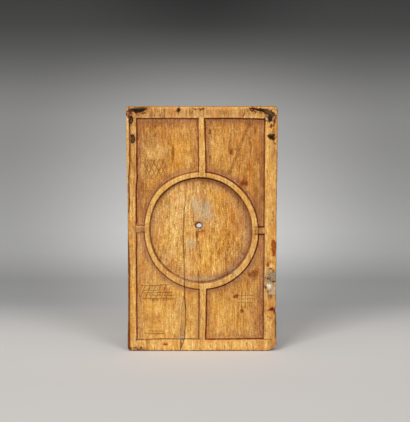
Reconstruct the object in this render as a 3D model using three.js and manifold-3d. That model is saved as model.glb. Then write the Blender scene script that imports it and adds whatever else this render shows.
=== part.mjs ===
// A wooden writing tablet: one leaf carved from a single board, with five sunk fields for wax,
// the wax left along their walls, and the pieces that age and repair have set into the leaf.
// Millimetres. The leaf stands on its lower edge: X runs across it, Y runs from the carved face
// (low Y) to the back, Z runs up the grain. The origin is the middle of the lower edge.
import * as THREE from "three";
import { mergeVertices } from "three/addons/utils/BufferGeometryUtils.js";
import Module from "manifold-3d";

const wasm = await Module();
wasm.setup();

// The blank board
const leafWidth = 153.5; // across its shoulders
const leafHeight = 250;
const leafThickness = 15;
const leafWaist = 1.4; // handling has drawn in each side by this below the shoulders
const edgeEase = 0.9; // bevel worn along the front and back edges
const cornerRadius = 3.5; // three worn corners
const cornerChip = 6; // the lower right corner is broken off this far along each edge

// The frame that stands round the sunk fields
const leftStile = 9.7;
const rightStile = 13.4;
const topRail = 11.2;
const bottomRail = 11.8;
const fieldDepth = 2.5;
const wallDraft = 0.35; // a carved wall leans out this far from face to floor

// The upright spine above and below the ring
const spineWidth = 6.4;
const spineShift = 0.7; // its middle, from the middle of the board
const spineLean = 1.2; // the upper spine's top end stands this far to the left of its foot

// The ring, taller than wide because the board has shrunk across its grain
const leftRibLength = 9.1;
const rightRibLength = 6.8;
const ringStretch = 2.3; // half height less half width
const ringDrop = 1.3; // below the middle of the sunk field
const bandAtSides = 4.8; // width of the ring at its left and right
const bandAtEnds = 5.2; // and at its top and foot
const ringSwell = 2; // the hand-cut ring is this much fuller at its upper left
const dishSwell = 1.2; // and the dish this much
const swellToward = 137; // degrees, from the right and up
const swellSpread = 20; // degrees

// The two short ribs between ring and frame
const ribWidth = 6.3;
const ribDrop = 0.7; // below the face of the frame
const leftRibRaise = 2.3; // above the middle of the ring
const rightRibRaise = 0.3;
const ribNotchWidth = 0.9; // knife cuts that run on into the ring beside the right rib
const ribNotchLength = 4.5;
const ribNotchDepth = 1.2;

// The round dish inside the ring
const dishDepth = 4;
const dishShiftX = -0.6; // its middle, from the middle of the ring
const dishShiftZ = 0.6;
const dishCove = 3.6; // width of the hollow that rounds wall into floor

// The bore through the dish, with its worn mouth
const boreRadius = 2.6;
const boreShiftX = -1.8; // from the middle of the dish
const boreShiftZ = 4.4;
const boreMouth = 4.3;
const boreMouthDepth = 1.7;

// The split along the grain, and the sliver of wood beside its lower end
const splitWidth = 0.8;
const splitBelowFace = 6.2;
const sliverWidth = 4.6; // at its foot
const sliverTop = 44; // height of its point above the bottom rail
const sliverFoot = 3; // height of its foot above the bottom rail
const sliverThickness = 3;

// The broken wedge in the bottom rail under the split
const wedgeWidth = 3.4;
const wedgeHeight = 8.6;
const wedgeThickness = 3.2;

// The dab of filler on the bottom rail above the wedge
const dabWidth = 5.8;
const dabHeight = 2.4;
const dabThickness = 2.1;

// The loss in the right stile, filled in two goes that have shrunk apart
const lossHeight = 26; // along the stile
const lossRim = 1; // wood left between the loss and the sunk field
const lossUp = 57.5; // its lower end above the foot
const lossDepth = 4.5;
const lossSink = 1.2; // the fillers' faces lie this far below the frame
const lossRough = 0.05; // how uneven its outline is, as a share of its size
const lossSteps = 24;
const fillParting = 14.5; // the crack between the fillers, above the loss's lower end
const lumpRadius = 2.3;
const lumpHeight = 0.9;
const lumpIn = 8.4; // middle of the lump from the right edge
const lumpBelow = 5; // middle of the lump below the crack

// Old fixing holes, plugged with black matter. Across is the middle's share of the stile's width,
// from the edge of the board.
const plugDepth = 6;
const plugs = [
  { name: "fixing_plug_left_upper", side: -1, across: 0.55, down: 13.2, wide: 1.8, high: 3.7, turn: 0.1 },
  { name: "fixing_plug_left_lower", side: -1, across: 0.71, down: 32.4, wide: 1.3, high: 3.7, turn: -0.08 },
  { name: "fixing_plug_right_upper", side: 1, across: 0.59, down: 11.9, wide: 2.3, high: 2.4, turn: 0 },
  { name: "fixing_plug_right_lower", side: 1, across: 0.52, down: 30.2, wide: 3, high: 1.8, turn: -0.45 },
  { name: "fixing_plug_top", side: -1, along: 53.3, down: 2.9, wide: 1.5, high: 1.4, turn: 0 },
];

// Black crusts in two shallow losses along the top edge. Each point of a path is its distance
// from the near side edge, its distance from the top, and the crust's half width there.
const crustDepth = 1.6;
const crusts = [
  {
    name: "pitch_crust_top_left",
    side: -1,
    path: [[5.8, 2.6, 0.5], [9.8, 3.3, 1.7], [14.2, 3.5, 2.1], [18.2, 2.8, 1.5], [21.2, 1.9, 0.5]],
  },
  {
    name: "pitch_crust_top_right",
    side: 1,
    path: [[28.8, 1.8, 0.4], [20.8, 2.4, 0.8], [13.8, 3.7, 1.3], [8.2, 5.6, 1.8], [4.8, 7.8, 1.1]],
  },
];

// Wax left along the walls of the fields
const waxReach = 4; // from wall towards the middle of a field
const waxHeight = 0.9; // at the wall
const waxThin = 0.12; // at its inner edge
const dishWaxReach = 4.5;

// Between any piece and the socket that it sits in
const seatGap = 0.3;

// Smoothness of the round forms
const ringSteps = 96;
const plugSteps = 20;
const sliverSteps = 8;
const overshoot = 1; // cutting tools run this far past the face that they enter

// Places worked out from the sizes above
const faceY = -leafThickness / 2;
const backY = leafThickness / 2;
const floorY = faceY + fieldDepth;
const dishFloorY = faceY + dishDepth;
const field = {
  left: -leafWidth / 2 + leftStile,
  right: leafWidth / 2 - rightStile,
  low: bottomRail,
  high: leafHeight - topRail,
};
const ring = {
  x: (field.left + leftRibLength + field.right - rightRibLength) / 2,
  z: (field.low + field.high) / 2 - ringDrop,
  halfWidth: (field.right - rightRibLength - field.left - leftRibLength) / 2,
};
ring.halfHeight = ring.halfWidth + ringStretch;
const dish = {
  x: ring.x + dishShiftX,
  z: ring.z + dishShiftZ,
  halfWidth: ring.halfWidth - bandAtSides,
  halfHeight: ring.halfHeight - bandAtEnds,
};
const bore = { x: dish.x + boreShiftX, z: dish.z + boreShiftZ };

// The split: its sideways place from the middle of the dish, at shares of the way from the
// bottom rail up to the top of the dish
const splitPath = [
  [-16.8, 0], [-15.7, 0.08], [-15.2, 0.12], [-15.3, 0.17], [-15.7, 0.22], [-16.4, 0.27],
  [-16.4, 0.3], [-16.7, 0.48], [-17.3, 0.56], [-17.8, 0.63], [-17.6, 0.68], [-17, 0.77],
  [-15.8, 0.86], [-14.4, 0.95], [-13.6, 0.98],
].map(([x, share]) => [dish.x + x, field.low + share * (dish.z + dish.halfHeight - field.low)]);

// An outline is a list of [x, z] points, counter-clockwise as seen from the carved side.

function ellipse(x, z, halfWidth, halfHeight, steps, turn = 0) {
  return Array.from({ length: steps }, (_, i) => {
    const angle = (2 * Math.PI * i) / steps;
    const u = halfWidth * Math.cos(angle);
    const v = halfHeight * Math.sin(angle);
    return [x + u * Math.cos(turn) - v * Math.sin(turn), z + u * Math.sin(turn) + v * Math.cos(turn)];
  });
}

// The same, swollen at its upper left.
function swollen(x, z, halfWidth, halfHeight, swell) {
  return ellipse(x, z, halfWidth, halfHeight, ringSteps).map(([px, pz]) => {
    const angle = Math.atan2(pz - z, px - x);
    const off = ((angle * 180) / Math.PI - swellToward) / swellSpread;
    const grow = swell * Math.exp(-off * off / 2);
    return [px + grow * Math.cos(angle), pz + grow * Math.sin(angle)];
  });
}

function rectangle(left, right, low, high) {
  return [[left, low], [right, low], [right, high], [left, high]];
}

// How far the board's sides are drawn in, as a share of the waist, at shares of the height.
const waistShape = [[0, 0.4], [0.04, 0.5], [0.16, 1], [0.6, 1], [0.7, 0.75], [0.8, 0.3], [0.94, 0], [1, 0]];
function waistAt(share) {
  const above = Math.max(1, waistShape.findIndex(([height]) => height >= share));
  const [height0, drawn0] = waistShape[above - 1];
  const [height1, drawn1] = waistShape[above];
  return drawn0 + ((drawn1 - drawn0) * (share - height0)) / (height1 - height0);
}

// The board's outline, drawn in by inset: three round corners and the chip at the lower right.
function boardOutline(inset) {
  const left = -leafWidth / 2 + inset;
  const right = leafWidth / 2 - inset;
  const high = leafHeight - inset;
  const corner = (x, z, from) =>
    Array.from({ length: 7 }, (_, i) => {
      const angle = from + (Math.PI / 2) * (i / 6);
      return [x + cornerRadius * Math.cos(angle), z + cornerRadius * Math.sin(angle)];
    });
  const between = waistShape.slice(2, -1).map(([share]) => share * leafHeight);
  return [
    [right - cornerChip, inset],
    [right - cornerChip * 0.32, inset + cornerChip * 0.42],
    [right, inset + cornerChip],
    ...between.map((z) => [right, z]),
    ...corner(right - cornerRadius, high - cornerRadius, 0),
    ...corner(left + cornerRadius, high - cornerRadius, Math.PI / 2),
    ...between.reverse().map((z) => [left, z]),
    ...corner(left + cornerRadius, inset + cornerRadius, Math.PI),
  ].map(([x, z]) => [x * (1 - (2 * leafWaist * waistAt(z / leafHeight)) / leafWidth), z]);
}

// A band of changing width along a path of [x, z, half width] points.
function band(path, grow = 0) {
  const side = (sign) =>
    path.map(([x, z, halfWidth], i) => {
      const before = path[Math.max(0, i - 1)];
      const after = path[Math.min(path.length - 1, i + 1)];
      const length = Math.hypot(after[0] - before[0], after[1] - before[1]);
      const offset = (sign * (halfWidth + grow)) / length;
      return [x + (after[1] - before[1]) * offset, z - (after[0] - before[0]) * offset];
    });
  return [...side(1), ...side(-1).reverse()];
}

// A closed solid through outlines of equal count, each at its own depth, from front to back.
function loft(levels) {
  const count = levels[0].outline.length;
  const positions = levels.flatMap(({ y, outline }) => outline.flatMap(([x, z]) => [x, y, z]));
  const cap = (outline) =>
    THREE.ShapeUtils.triangulateShape(
      outline.map(([x, z]) => new THREE.Vector2(x, z)),
      [],
    );
  const last = (levels.length - 1) * count;
  const index = [
    ...cap(levels[0].outline).flat(),
    ...cap(levels[levels.length - 1].outline).flatMap(([a, b, c]) => [last + a, last + c, last + b]),
  ];
  for (let level = 0; level < levels.length - 1; level++) {
    for (let i = 0; i < count; i++) {
      const near = level * count + i;
      const nearNext = level * count + ((i + 1) % count);
      index.push(near, near + count, nearNext + count, near, nearNext + count, nearNext);
    }
  }
  const geometry = new THREE.BufferGeometry();
  geometry.setAttribute("position", new THREE.Float32BufferAttribute(positions, 3));
  geometry.setIndex(index);
  return solid(geometry);
}

// An outline pushed straight through from one depth to another.
function prism(outline, fromY, toY) {
  const shape = new THREE.Shape(outline.map(([x, z]) => new THREE.Vector2(x, z)));
  const geometry = new THREE.ExtrudeGeometry(shape, { depth: toY - fromY, bevelEnabled: false });
  return solid(geometry.rotateX(Math.PI / 2).translate(0, toY, 0));
}

// A turned form about an axis along Y: [radius, y] points from front to back.
function turned(x, z, profile, steps) {
  const points = [[0, profile[0][1]], ...profile, [0, profile[profile.length - 1][1]]];
  const geometry = new THREE.LatheGeometry(
    points.map(([radius, y]) => new THREE.Vector2(radius, y)),
    steps,
  );
  return solid(geometry.translate(x, 0, z));
}

// A closed geometry as a manifold solid.
function solid(geometry) {
  const bare = geometry.clone();
  bare.deleteAttribute("normal");
  bare.deleteAttribute("uv");
  const merged = mergeVertices(bare, 1e-4);
  return new wasm.Manifold(
    new wasm.Mesh({
      numProp: 3,
      vertProperties: new Float32Array(merged.attributes.position.array),
      triVerts: new Uint32Array(merged.index.array),
    }),
  );
}

function geometryOf(manifold) {
  const mesh = manifold.getMesh();
  const positions = [];
  for (let i = 0; i < mesh.numVert; i++) {
    positions.push(...mesh.vertProperties.subarray(i * mesh.numProp, i * mesh.numProp + 3));
  }
  const geometry = new THREE.BufferGeometry();
  geometry.setAttribute("position", new THREE.Float32BufferAttribute(positions, 3));
  geometry.setIndex(new THREE.BufferAttribute(mesh.triVerts, 1));
  geometry.computeVertexNormals();
  return geometry;
}

// The raised forms that stand in the sunk field. Each is grown by near at depth fromY and by far
// at depth toY, so that the same outlines make the carved walls, the gap beside the wax and the
// slope of the wax.

function ringForm(near, far, fromY, toY) {
  const level = (grow, y) => ({
    y,
    outline: swollen(ring.x, ring.z, ring.halfWidth + grow, ring.halfHeight + grow, ringSwell),
  });
  return loft([level(near, fromY), level(far, toY)]);
}

function spineForm(near, far, fromY, toY) {
  const middle = spineShift;
  const level = (grow, y) => ({
    y,
    outline: [
      [middle - spineWidth / 2 - grow, 0],
      [middle + spineWidth / 2 + grow, 0],
      [middle + spineWidth / 2 + grow, ring.z],
      [middle + spineWidth / 2 + grow - spineLean, leafHeight],
      [middle - spineWidth / 2 - grow - spineLean, leafHeight],
      [middle - spineWidth / 2 - grow, ring.z],
    ],
  });
  return loft([level(near, fromY), level(far, toY)]);
}

function ribForm(side, near, far, fromY, toY) {
  const middle = ring.z + (side < 0 ? leftRibRaise : rightRibRaise);
  const outer = (side * leafWidth) / 2;
  const level = (grow, y) => ({
    y,
    outline: rectangle(
      Math.min(outer, ring.x),
      Math.max(outer, ring.x),
      middle - ribWidth / 2 - grow,
      middle + ribWidth / 2 + grow,
    ),
  });
  return loft([level(near, fromY), level(far, toY)]);
}

// The sunk space round the raised forms, its walls drawn in by near at fromY and by far at toY.
function sunkSpace(near, far, fromY, toY, ribFromY = fromY) {
  const level = (inset, y) => ({
    y,
    outline: rectangle(field.left + inset, field.right - inset, field.low + inset, field.high - inset),
  });
  return loft([level(near, fromY), level(far, toY)])
    .subtract(ringForm(near, far, fromY, toY))
    .subtract(spineForm(near, far, fromY, toY))
    .subtract(ribForm(-1, near, far, ribFromY, toY))
    .subtract(ribForm(1, near, far, ribFromY, toY));
}

// The round dish: a steep wall, a cove and a flat floor.
function dishSpace() {
  const level = (inset, depth) => ({
    y: faceY + depth,
    outline: swollen(dish.x, dish.z, dish.halfWidth - inset, dish.halfHeight - inset, dishSwell),
  });
  const coveSteps = [1, 2, 3].map((i) => {
    const angle = (Math.PI / 2) * (i / 3);
    return level(
      wallDraft + dishCove * (1 - Math.cos(angle)),
      dishDepth * 0.55 + dishDepth * 0.45 * Math.sin(angle),
    );
  });
  return loft([level(0, -overshoot), level(0, 0), level(wallDraft, dishDepth * 0.55), ...coveSteps]);
}

function boreSpace() {
  return turned(
    bore.x,
    bore.z,
    [
      [boreMouth, faceY - overshoot],
      [boreMouth, dishFloorY],
      [boreRadius, dishFloorY + boreMouthDepth],
      [boreRadius, backY + overshoot],
    ],
    32,
  );
}

// Where the split lies at a height.
function splitAt(z) {
  const above = splitPath.findIndex(([, height]) => height >= z);
  if (above <= 0) return splitPath[above < 0 ? splitPath.length - 1 : 0][0];
  const [x0, z0] = splitPath[above - 1];
  const [x1, z1] = splitPath[above];
  return x0 + ((x1 - x0) * (z - z0)) / (z1 - z0);
}

function splitSpace() {
  const end = splitPath.length - 1;
  const path = splitPath.map(([x, z], i) => [x, z, splitWidth / (i === end ? 8 : 2)]);
  return prism(band(path), faceY - overshoot, faceY + splitBelowFace);
}

// The sliver's outline narrows to a point beside the split. Grow widens it for its socket.
function sliverOutline(grow) {
  const low = field.low + sliverFoot - grow;
  const high = field.low + sliverTop + grow;
  const heights = Array.from({ length: sliverSteps + 1 }, (_, i) => low + ((high - low) * i) / sliverSteps);
  const rightSide = heights.map((z) => [splitAt(z) - splitWidth / 2 + grow, z]);
  const leftSide = heights.map((z, i) => {
    const share = i / sliverSteps;
    return [splitAt(z) - splitWidth / 2 - sliverWidth * Math.sqrt(1 - 0.93 * share) - grow, z];
  });
  return [...rightSide, ...leftSide.reverse()];
}

// The wedge hangs point down in the bottom rail, with its upright side on the left.
const wedgeRight = splitPath[0][0] - splitWidth / 2;
const railSplitX = wedgeRight - wedgeWidth * 0.9;
function wedgeOutline(grow) {
  const high = field.low - seatGap + grow;
  const low = field.low - wedgeHeight - grow;
  return [
    [wedgeRight - wedgeWidth - grow, low],
    [wedgeRight - wedgeWidth * 0.8 + grow, low],
    [wedgeRight + grow, high],
    [wedgeRight - wedgeWidth - grow, high],
  ];
}

function railSplitSpace() {
  return prism(
    rectangle(railSplitX - splitWidth / 2, railSplitX + splitWidth / 2, -overshoot, field.low - wedgeHeight),
    faceY - overshoot,
    faceY + wedgeThickness,
  );
}

function dabOutline(grow) {
  const low = field.low + wallDraft + seatGap - grow;
  return Array.from({ length: 13 }, (_, i) => {
    const angle = (Math.PI * i) / 12;
    return [
      railSplitX + (dabWidth / 2 + grow) * Math.cos(angle),
      low + (dabHeight + 2 * grow) * Math.sin(angle) ** 0.7,
    ];
  });
}

// The loss is a rough round bite out of the right edge.
function lossOutline(grow) {
  const lossWidth = (rightStile - lossRim) / (1 + 2 * lossRough);
  const middle = lossUp + lossHeight / 2;
  return Array.from({ length: lossSteps }, (_, i) => {
    const angle = (2 * Math.PI * i) / lossSteps;
    const rough = 1 + lossRough * (Math.sin(3 * angle + 4) + Math.sin(5 * angle + 3));
    const reach = Math.sign(Math.cos(angle)) * Math.abs(Math.cos(angle)) ** 0.6;
    return [
      leafWidth / 2 + (lossWidth * rough + grow) * reach,
      middle + ((lossHeight / 2) * rough + grow) * Math.sin(angle),
    ];
  });
}

function crustPath({ side, path }) {
  return path.map(([fromSide, fromTop, halfWidth]) => [
    side * (leafWidth / 2 - fromSide),
    leafHeight - fromTop,
    halfWidth,
  ]);
}

function extended(path, by) {
  const stretch = ([x0, z0, w], [x1, z1]) => {
    const length = Math.hypot(x1 - x0, z1 - z0);
    return [x0 - ((x1 - x0) * by) / length, z0 - ((z1 - z0) * by) / length, w];
  };
  return [
    stretch(path[0], path[1]),
    ...path.slice(1, -1),
    stretch(path[path.length - 1], path[path.length - 2]),
  ];
}

// Wide and high are half sizes. Along is a distance from the side edge, where across isn't given.
function plugOutline({ side, across, along, down, wide, high, turn }, grow) {
  const stile = side < 0 ? leftStile : rightStile;
  const x = side * (leafWidth / 2 - (along ?? across * stile));
  return ellipse(x, leafHeight - down, wide + grow, high + grow, plugSteps, turn);
}

function ribNotchSpace() {
  const middle = ring.z + rightRibRaise;
  const outer = ring.x + ring.halfWidth;
  const left = outer - ribNotchLength;
  const right = outer + rightRibLength;
  const cut = (z) =>
    prism(
      rectangle(left, right, z - ribNotchWidth / 2, z + ribNotchWidth / 2),
      faceY - overshoot,
      faceY + ribNotchDepth,
    );
  return cut(middle - ribWidth / 2).add(cut(middle + ribWidth / 2));
}

function carvedLeaf() {
  const board = loft([
    { y: faceY, outline: boardOutline(edgeEase) },
    { y: faceY + edgeEase, outline: boardOutline(0) },
    { y: backY - edgeEase, outline: boardOutline(0) },
    { y: backY, outline: boardOutline(edgeEase) },
  ]);
  const sunk = sunkSpace(0, wallDraft, faceY, floorY, faceY + ribDrop);
  const aboveSunk = sunkSpace(0, 0, faceY - overshoot, faceY);
  const cuts = [
    sunk,
    aboveSunk,
    dishSpace(),
    boreSpace(),
    splitSpace(),
    prism(sliverOutline(seatGap), faceY, floorY + sliverThickness),
    prism(wedgeOutline(seatGap), faceY - overshoot, faceY + wedgeThickness),
    railSplitSpace(),
    ribNotchSpace(),
    prism(lossOutline(0), faceY - overshoot, faceY + lossDepth),
    ...plugs.map((plug) => prism(plugOutline(plug, seatGap), faceY - overshoot, faceY + plugDepth)),
    ...crusts.map((crust) =>
      prism(band(extended(crustPath(crust), seatGap), seatGap), faceY - overshoot, faceY + crustDepth),
    ),
  ];
  return cuts.reduce((leaf, cut) => leaf.subtract(cut), board);
}

// Wax in one quarter of the sunk field: a low slope from the walls down to the floor.
function fieldWax(sideX, sideZ) {
  const topY = floorY - waxHeight;
  const quarter = prism(
    rectangle(
      sideX < 0 ? field.left : spineShift,
      sideX < 0 ? spineShift : field.right,
      sideZ < 0 ? field.low : ring.z,
      sideZ < 0 ? ring.z : field.high,
    ),
    topY,
    floorY,
  );
  const fill = sunkSpace(wallDraft + seatGap, wallDraft + seatGap, topY, floorY);
  const air = sunkSpace(wallDraft + seatGap * 2, waxReach, topY - overshoot, floorY - waxThin);
  const hole = sunkSpace(waxReach, waxReach, floorY - waxThin - overshoot, floorY + overshoot);
  return fill.intersect(quarter).subtract(air).subtract(hole);
}

function dishWax() {
  const outer = wallDraft + dishCove + seatGap;
  const shape = (inset, y) => ({
    y,
    outline: swollen(dish.x, dish.z, dish.halfWidth - inset, dish.halfHeight - inset, dishSwell),
  });
  const topY = dishFloorY - waxHeight;
  const fill = loft([shape(outer, topY), shape(outer, dishFloorY)]);
  const air = loft([
    shape(outer + seatGap, topY - overshoot),
    shape(outer + dishWaxReach, dishFloorY - waxThin),
  ]);
  const hole = loft([
    shape(outer + dishWaxReach, dishFloorY - waxThin - overshoot),
    shape(outer + dishWaxReach, dishFloorY + overshoot),
  ]);
  return fill.subtract(air).subtract(hole);
}

// The filler above (side 1) or below (side -1) the crack that parts the two.
function edgeFill(side) {
  const block = prism(lossOutline(-seatGap), faceY + lossSink, faceY + lossDepth - seatGap);
  const board = prism(boardOutline(seatGap), faceY, backY);
  const parting = lossUp + fillParting;
  const low = side < 0 ? 0 : parting + seatGap / 2;
  const high = side < 0 ? parting - seatGap / 2 : leafHeight;
  return block.intersect(board).intersect(prism(rectangle(0, leafWidth, low, high), faceY, backY));
}

function fillLump() {
  const x = leafWidth / 2 - lumpIn;
  const z = lossUp + fillParting - lumpBelow;
  const seatY = faceY + lossSink;
  return loft([
    { y: seatY - lumpHeight, outline: ellipse(x, z, lumpRadius * 0.45, lumpRadius * 0.5, plugSteps) },
    { y: seatY - lumpHeight * 0.7, outline: ellipse(x, z, lumpRadius * 0.8, lumpRadius * 0.85, plugSteps) },
    { y: seatY, outline: ellipse(x, z, lumpRadius, lumpRadius * 1.05, plugSteps) },
  ]);
}

const wood = new THREE.MeshStandardMaterial({ color: 0xcf9650, roughness: 0.62, metalness: 0 });
const wax = new THREE.MeshStandardMaterial({ color: 0x9a6438, roughness: 0.5, metalness: 0 });
const pitch = new THREE.MeshStandardMaterial({ color: 0x1f1811, roughness: 0.55, metalness: 0 });
const filler = new THREE.MeshStandardMaterial({ color: 0xa08d70, roughness: 0.9, metalness: 0 });
const greyFiller = new THREE.MeshStandardMaterial({ color: 0x8c8371, roughness: 0.9, metalness: 0 });
const plaster = new THREE.MeshStandardMaterial({ color: 0xe2d6b8, roughness: 0.9, metalness: 0 });

const tablet = new THREE.Group();

function addPiece(name, manifold, material) {
  const mesh = new THREE.Mesh(geometryOf(manifold), material);
  mesh.name = name;
  tablet.add(mesh);
}

addPiece("carved_leaf", carvedLeaf(), wood);
addPiece("split_sliver", prism(sliverOutline(0), floorY, floorY + sliverThickness - seatGap), wood);
addPiece("rail_wedge", prism(wedgeOutline(0), faceY + seatGap, faceY + wedgeThickness - seatGap), wood);
addPiece("rail_fill_dab", prism(dabOutline(0), floorY - dabThickness, floorY), filler);
addPiece("edge_fill_upper", edgeFill(1), greyFiller);
addPiece("edge_fill_lower", edgeFill(-1), filler);
addPiece("edge_fill_lump", fillLump(), plaster);
for (const plug of plugs) {
  const body = prism(plugOutline(plug, 0), faceY + seatGap, faceY + plugDepth - seatGap);
  addPiece(plug.name, body, pitch);
}
for (const crust of crusts) {
  const body = prism(band(crustPath(crust)), faceY + seatGap, faceY + crustDepth - seatGap);
  addPiece(crust.name, body, pitch);
}
addPiece("wax_trace_upper_left", fieldWax(-1, 1), wax);
addPiece("wax_trace_upper_right", fieldWax(1, 1), wax);
const dabSocket = prism(dabOutline(seatGap), faceY, floorY + overshoot);
addPiece("wax_trace_lower_left", fieldWax(-1, -1).subtract(dabSocket), wax);
addPiece("wax_trace_lower_right", fieldWax(1, -1), wax);
addPiece("wax_trace_dish", dishWax(), wax);

export default tablet;
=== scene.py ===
import math

import bpy
import numpy as np
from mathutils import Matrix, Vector, kdtree
from mathutils.geometry import delaunay_2d_cdt


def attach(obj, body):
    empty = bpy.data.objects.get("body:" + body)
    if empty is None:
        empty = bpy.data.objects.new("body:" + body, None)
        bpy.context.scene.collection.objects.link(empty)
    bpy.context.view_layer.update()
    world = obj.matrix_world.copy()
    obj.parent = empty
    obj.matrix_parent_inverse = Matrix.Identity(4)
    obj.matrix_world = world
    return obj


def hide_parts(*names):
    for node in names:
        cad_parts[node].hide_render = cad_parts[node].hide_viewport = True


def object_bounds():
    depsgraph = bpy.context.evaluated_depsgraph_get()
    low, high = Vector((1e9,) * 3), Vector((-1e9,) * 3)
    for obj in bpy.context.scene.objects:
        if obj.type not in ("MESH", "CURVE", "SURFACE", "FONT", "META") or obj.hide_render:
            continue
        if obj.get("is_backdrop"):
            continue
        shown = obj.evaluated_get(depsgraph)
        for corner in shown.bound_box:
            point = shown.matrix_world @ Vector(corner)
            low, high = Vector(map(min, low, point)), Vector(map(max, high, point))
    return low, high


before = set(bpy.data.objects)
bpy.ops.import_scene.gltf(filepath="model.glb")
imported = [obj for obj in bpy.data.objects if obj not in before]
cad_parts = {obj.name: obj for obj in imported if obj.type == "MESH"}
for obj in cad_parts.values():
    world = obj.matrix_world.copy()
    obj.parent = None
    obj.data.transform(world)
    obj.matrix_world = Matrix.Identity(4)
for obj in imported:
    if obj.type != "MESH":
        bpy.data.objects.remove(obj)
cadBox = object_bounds()
mm = 0.001

# One leaf of a carved wooden writing tablet. All shapes are worked out in millimetres on a flat
# drawing of the carved face: x to the right, z up, and depth from the face into the wood.
# Pairs are a place along a line and the line's place there.
leaf = {
    "height": 250.0,
    "thickness": 15.0,
    "leftEdge": ((0, -76.0), (10, -76.0), (40, -75.3), (150, -75.3), (200, -76.3), (235, -76.7)),
    "rightEdge": ((0, 76.2), (10, 76.2), (40, 75.6), (150, 75.8), (200, 76.4), (235, 76.7)),
    "pointSpacing": 0.95,  # between the points of the carved face
    "edgeSpacing": 0.8,  # along walls, cuts and the outline
    "fieldLeft": ((165, -67.1), (180, -66.1)),
    "fieldRight": ((60, 63.1), (100, 63.5), (210, 63.5), (230, 63.8)),
    "fieldLow": ((-62, 11.2), (-45, 11.7), (-35, 12.0), (-10, 12.0), (8, 11.6), (35, 11.6), (60, 12.2)),
    "fieldHigh": ((35, 238.95), (60, 238.2)),
    "panelDepth": 2.5,
    "dishDepth": 4.0,
    "wallDraft": 0.5,
    "wander": 0.28,  # how far the hand-cut lines stray
    "ringCentre": (-0.65, 124.0),
    "ringHalf": (57.25, 59.55),
    "ringSwell": ((2.0, 137, 19), (0.7, -42, 30)),  # amount, middle and spread in degrees
    "dishCentre": (-1.25, 124.6),
    "dishHalf": (52.45, 54.4),
    "dishSwell": ((1.2, 137, 18), (0.7, -42, 30)),
    "spineLeft": ((18, -2.6), (40, -2.5), (60, -2.1), (186, -2.8), (212, -2.8), (228, -3.3)),
    "spineRight": (
        (18, 3.5), (30, 4.0), (60, 4.3), (186, 3.5), (192, 3.7), (210, 3.3), (220, 2.8), (237, 2.5),
    ),
    "leftRib": (123.2, 129.3),  # lower and upper side
    "rightRib": (121.1, 127.5),
    "ribDrop": 0.7,
    "boreCentre": (-3.1, 128.8),
    "boreRadius": 2.6,
    "boreBackRadius": 2.9,
    "mouthCentre": (-3.6, 129.3),
    "mouthRadius": 4.3,
    "mouthDepth": 1.7,
    "losses": (  # crumbled places in the face: x, z, half width, half height, depth
        (68.8, 239.5, 4.2, 6.5, 0.5), (-71.8, 246.2, 2.4, 2.2, 0.35), (-4.0, 248.4, 7.0, 1.3, 0.4),
        (71.6, 229.5, 2.6, 3.4, 0.25), (69.0, 57.5, 2.4, 2.2, 0.3), (70.0, 43.6, 1.8, 1.6, 0.5),
    ),
    "arris": (
        (20, -74.1), (40, -74.2), (60, -73.9), (80, -73.5), (100, -74.2), (118, -75.2), (135, -75.2),
        (150, -73.6), (180, -73.8), (195, -72.7), (225, -72.7), (240, -73.4),
    ),
}

# The carved surface: walls as distance from their line and share of the depth there, noise as
# strength, size across, size along and seed
relief = {
    "panelWall": ((-1.3, 0), (-0.5, 0.03), (0, 0.16), (leaf["wallDraft"], 1)),
    "dishWall": (
        (-1.3, 0), (-0.5, 0.015), (0, 0.08), (0.6, 0.5), (1.6, 0.74), (2.8, 0.88), (4.4, 0.975), (6, 1),
    ),
    "wornWall": ((-2.4, 0.3), (-1.2, 0.42), (0.6, 0.72), (2.4, 1)),
    "raisedDepth": 0.12,
    "raised": ((0.08, 26, 70, 1), (0.04, 2.2, 40, 2), (0.03, 0.9, 14, 3)),
    "tool": ((0.11, 7, 15, 4), (0.07, 3, 9, 5)),
    "footFill": 0.3,  # how much shallower the panels are beside their walls
    "arrisDrop": 0.18,
    "arrisSlope": 0.3,
    "arrisCut": 0.3,
    "cornerWear": 0.5,
    "cornerAt": (-58, 8),  # where the wear of the lower left corner sets in
    "cornerReach": (5, 11),
    # the rubbed left end of the left rib: from and to along x, height, half height
    "rubbedRib": ((57.5, 58.5), 126.2, (4.5, 6.5)),
}

# The split along the grain, from the bottom rail up through the dish
splitLine = [
    (-17.9, 11.8), (-17.8, 15), (-16.9, 25), (-16.4, 32), (-16.6, 40), (-16.9, 48), (-17.7, 56),
    (-17.6, 62), (-17.9, 92), (-18.5, 105), (-19, 115), (-18.9, 125), (-18.3, 140), (-17.6, 147),
]
sliverLine = [(-21.8, 15.5), (-21.5, 25), (-20.8, 32), (-20.8, 40), (-19.9, 48), (-18.4, 56)]

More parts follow.
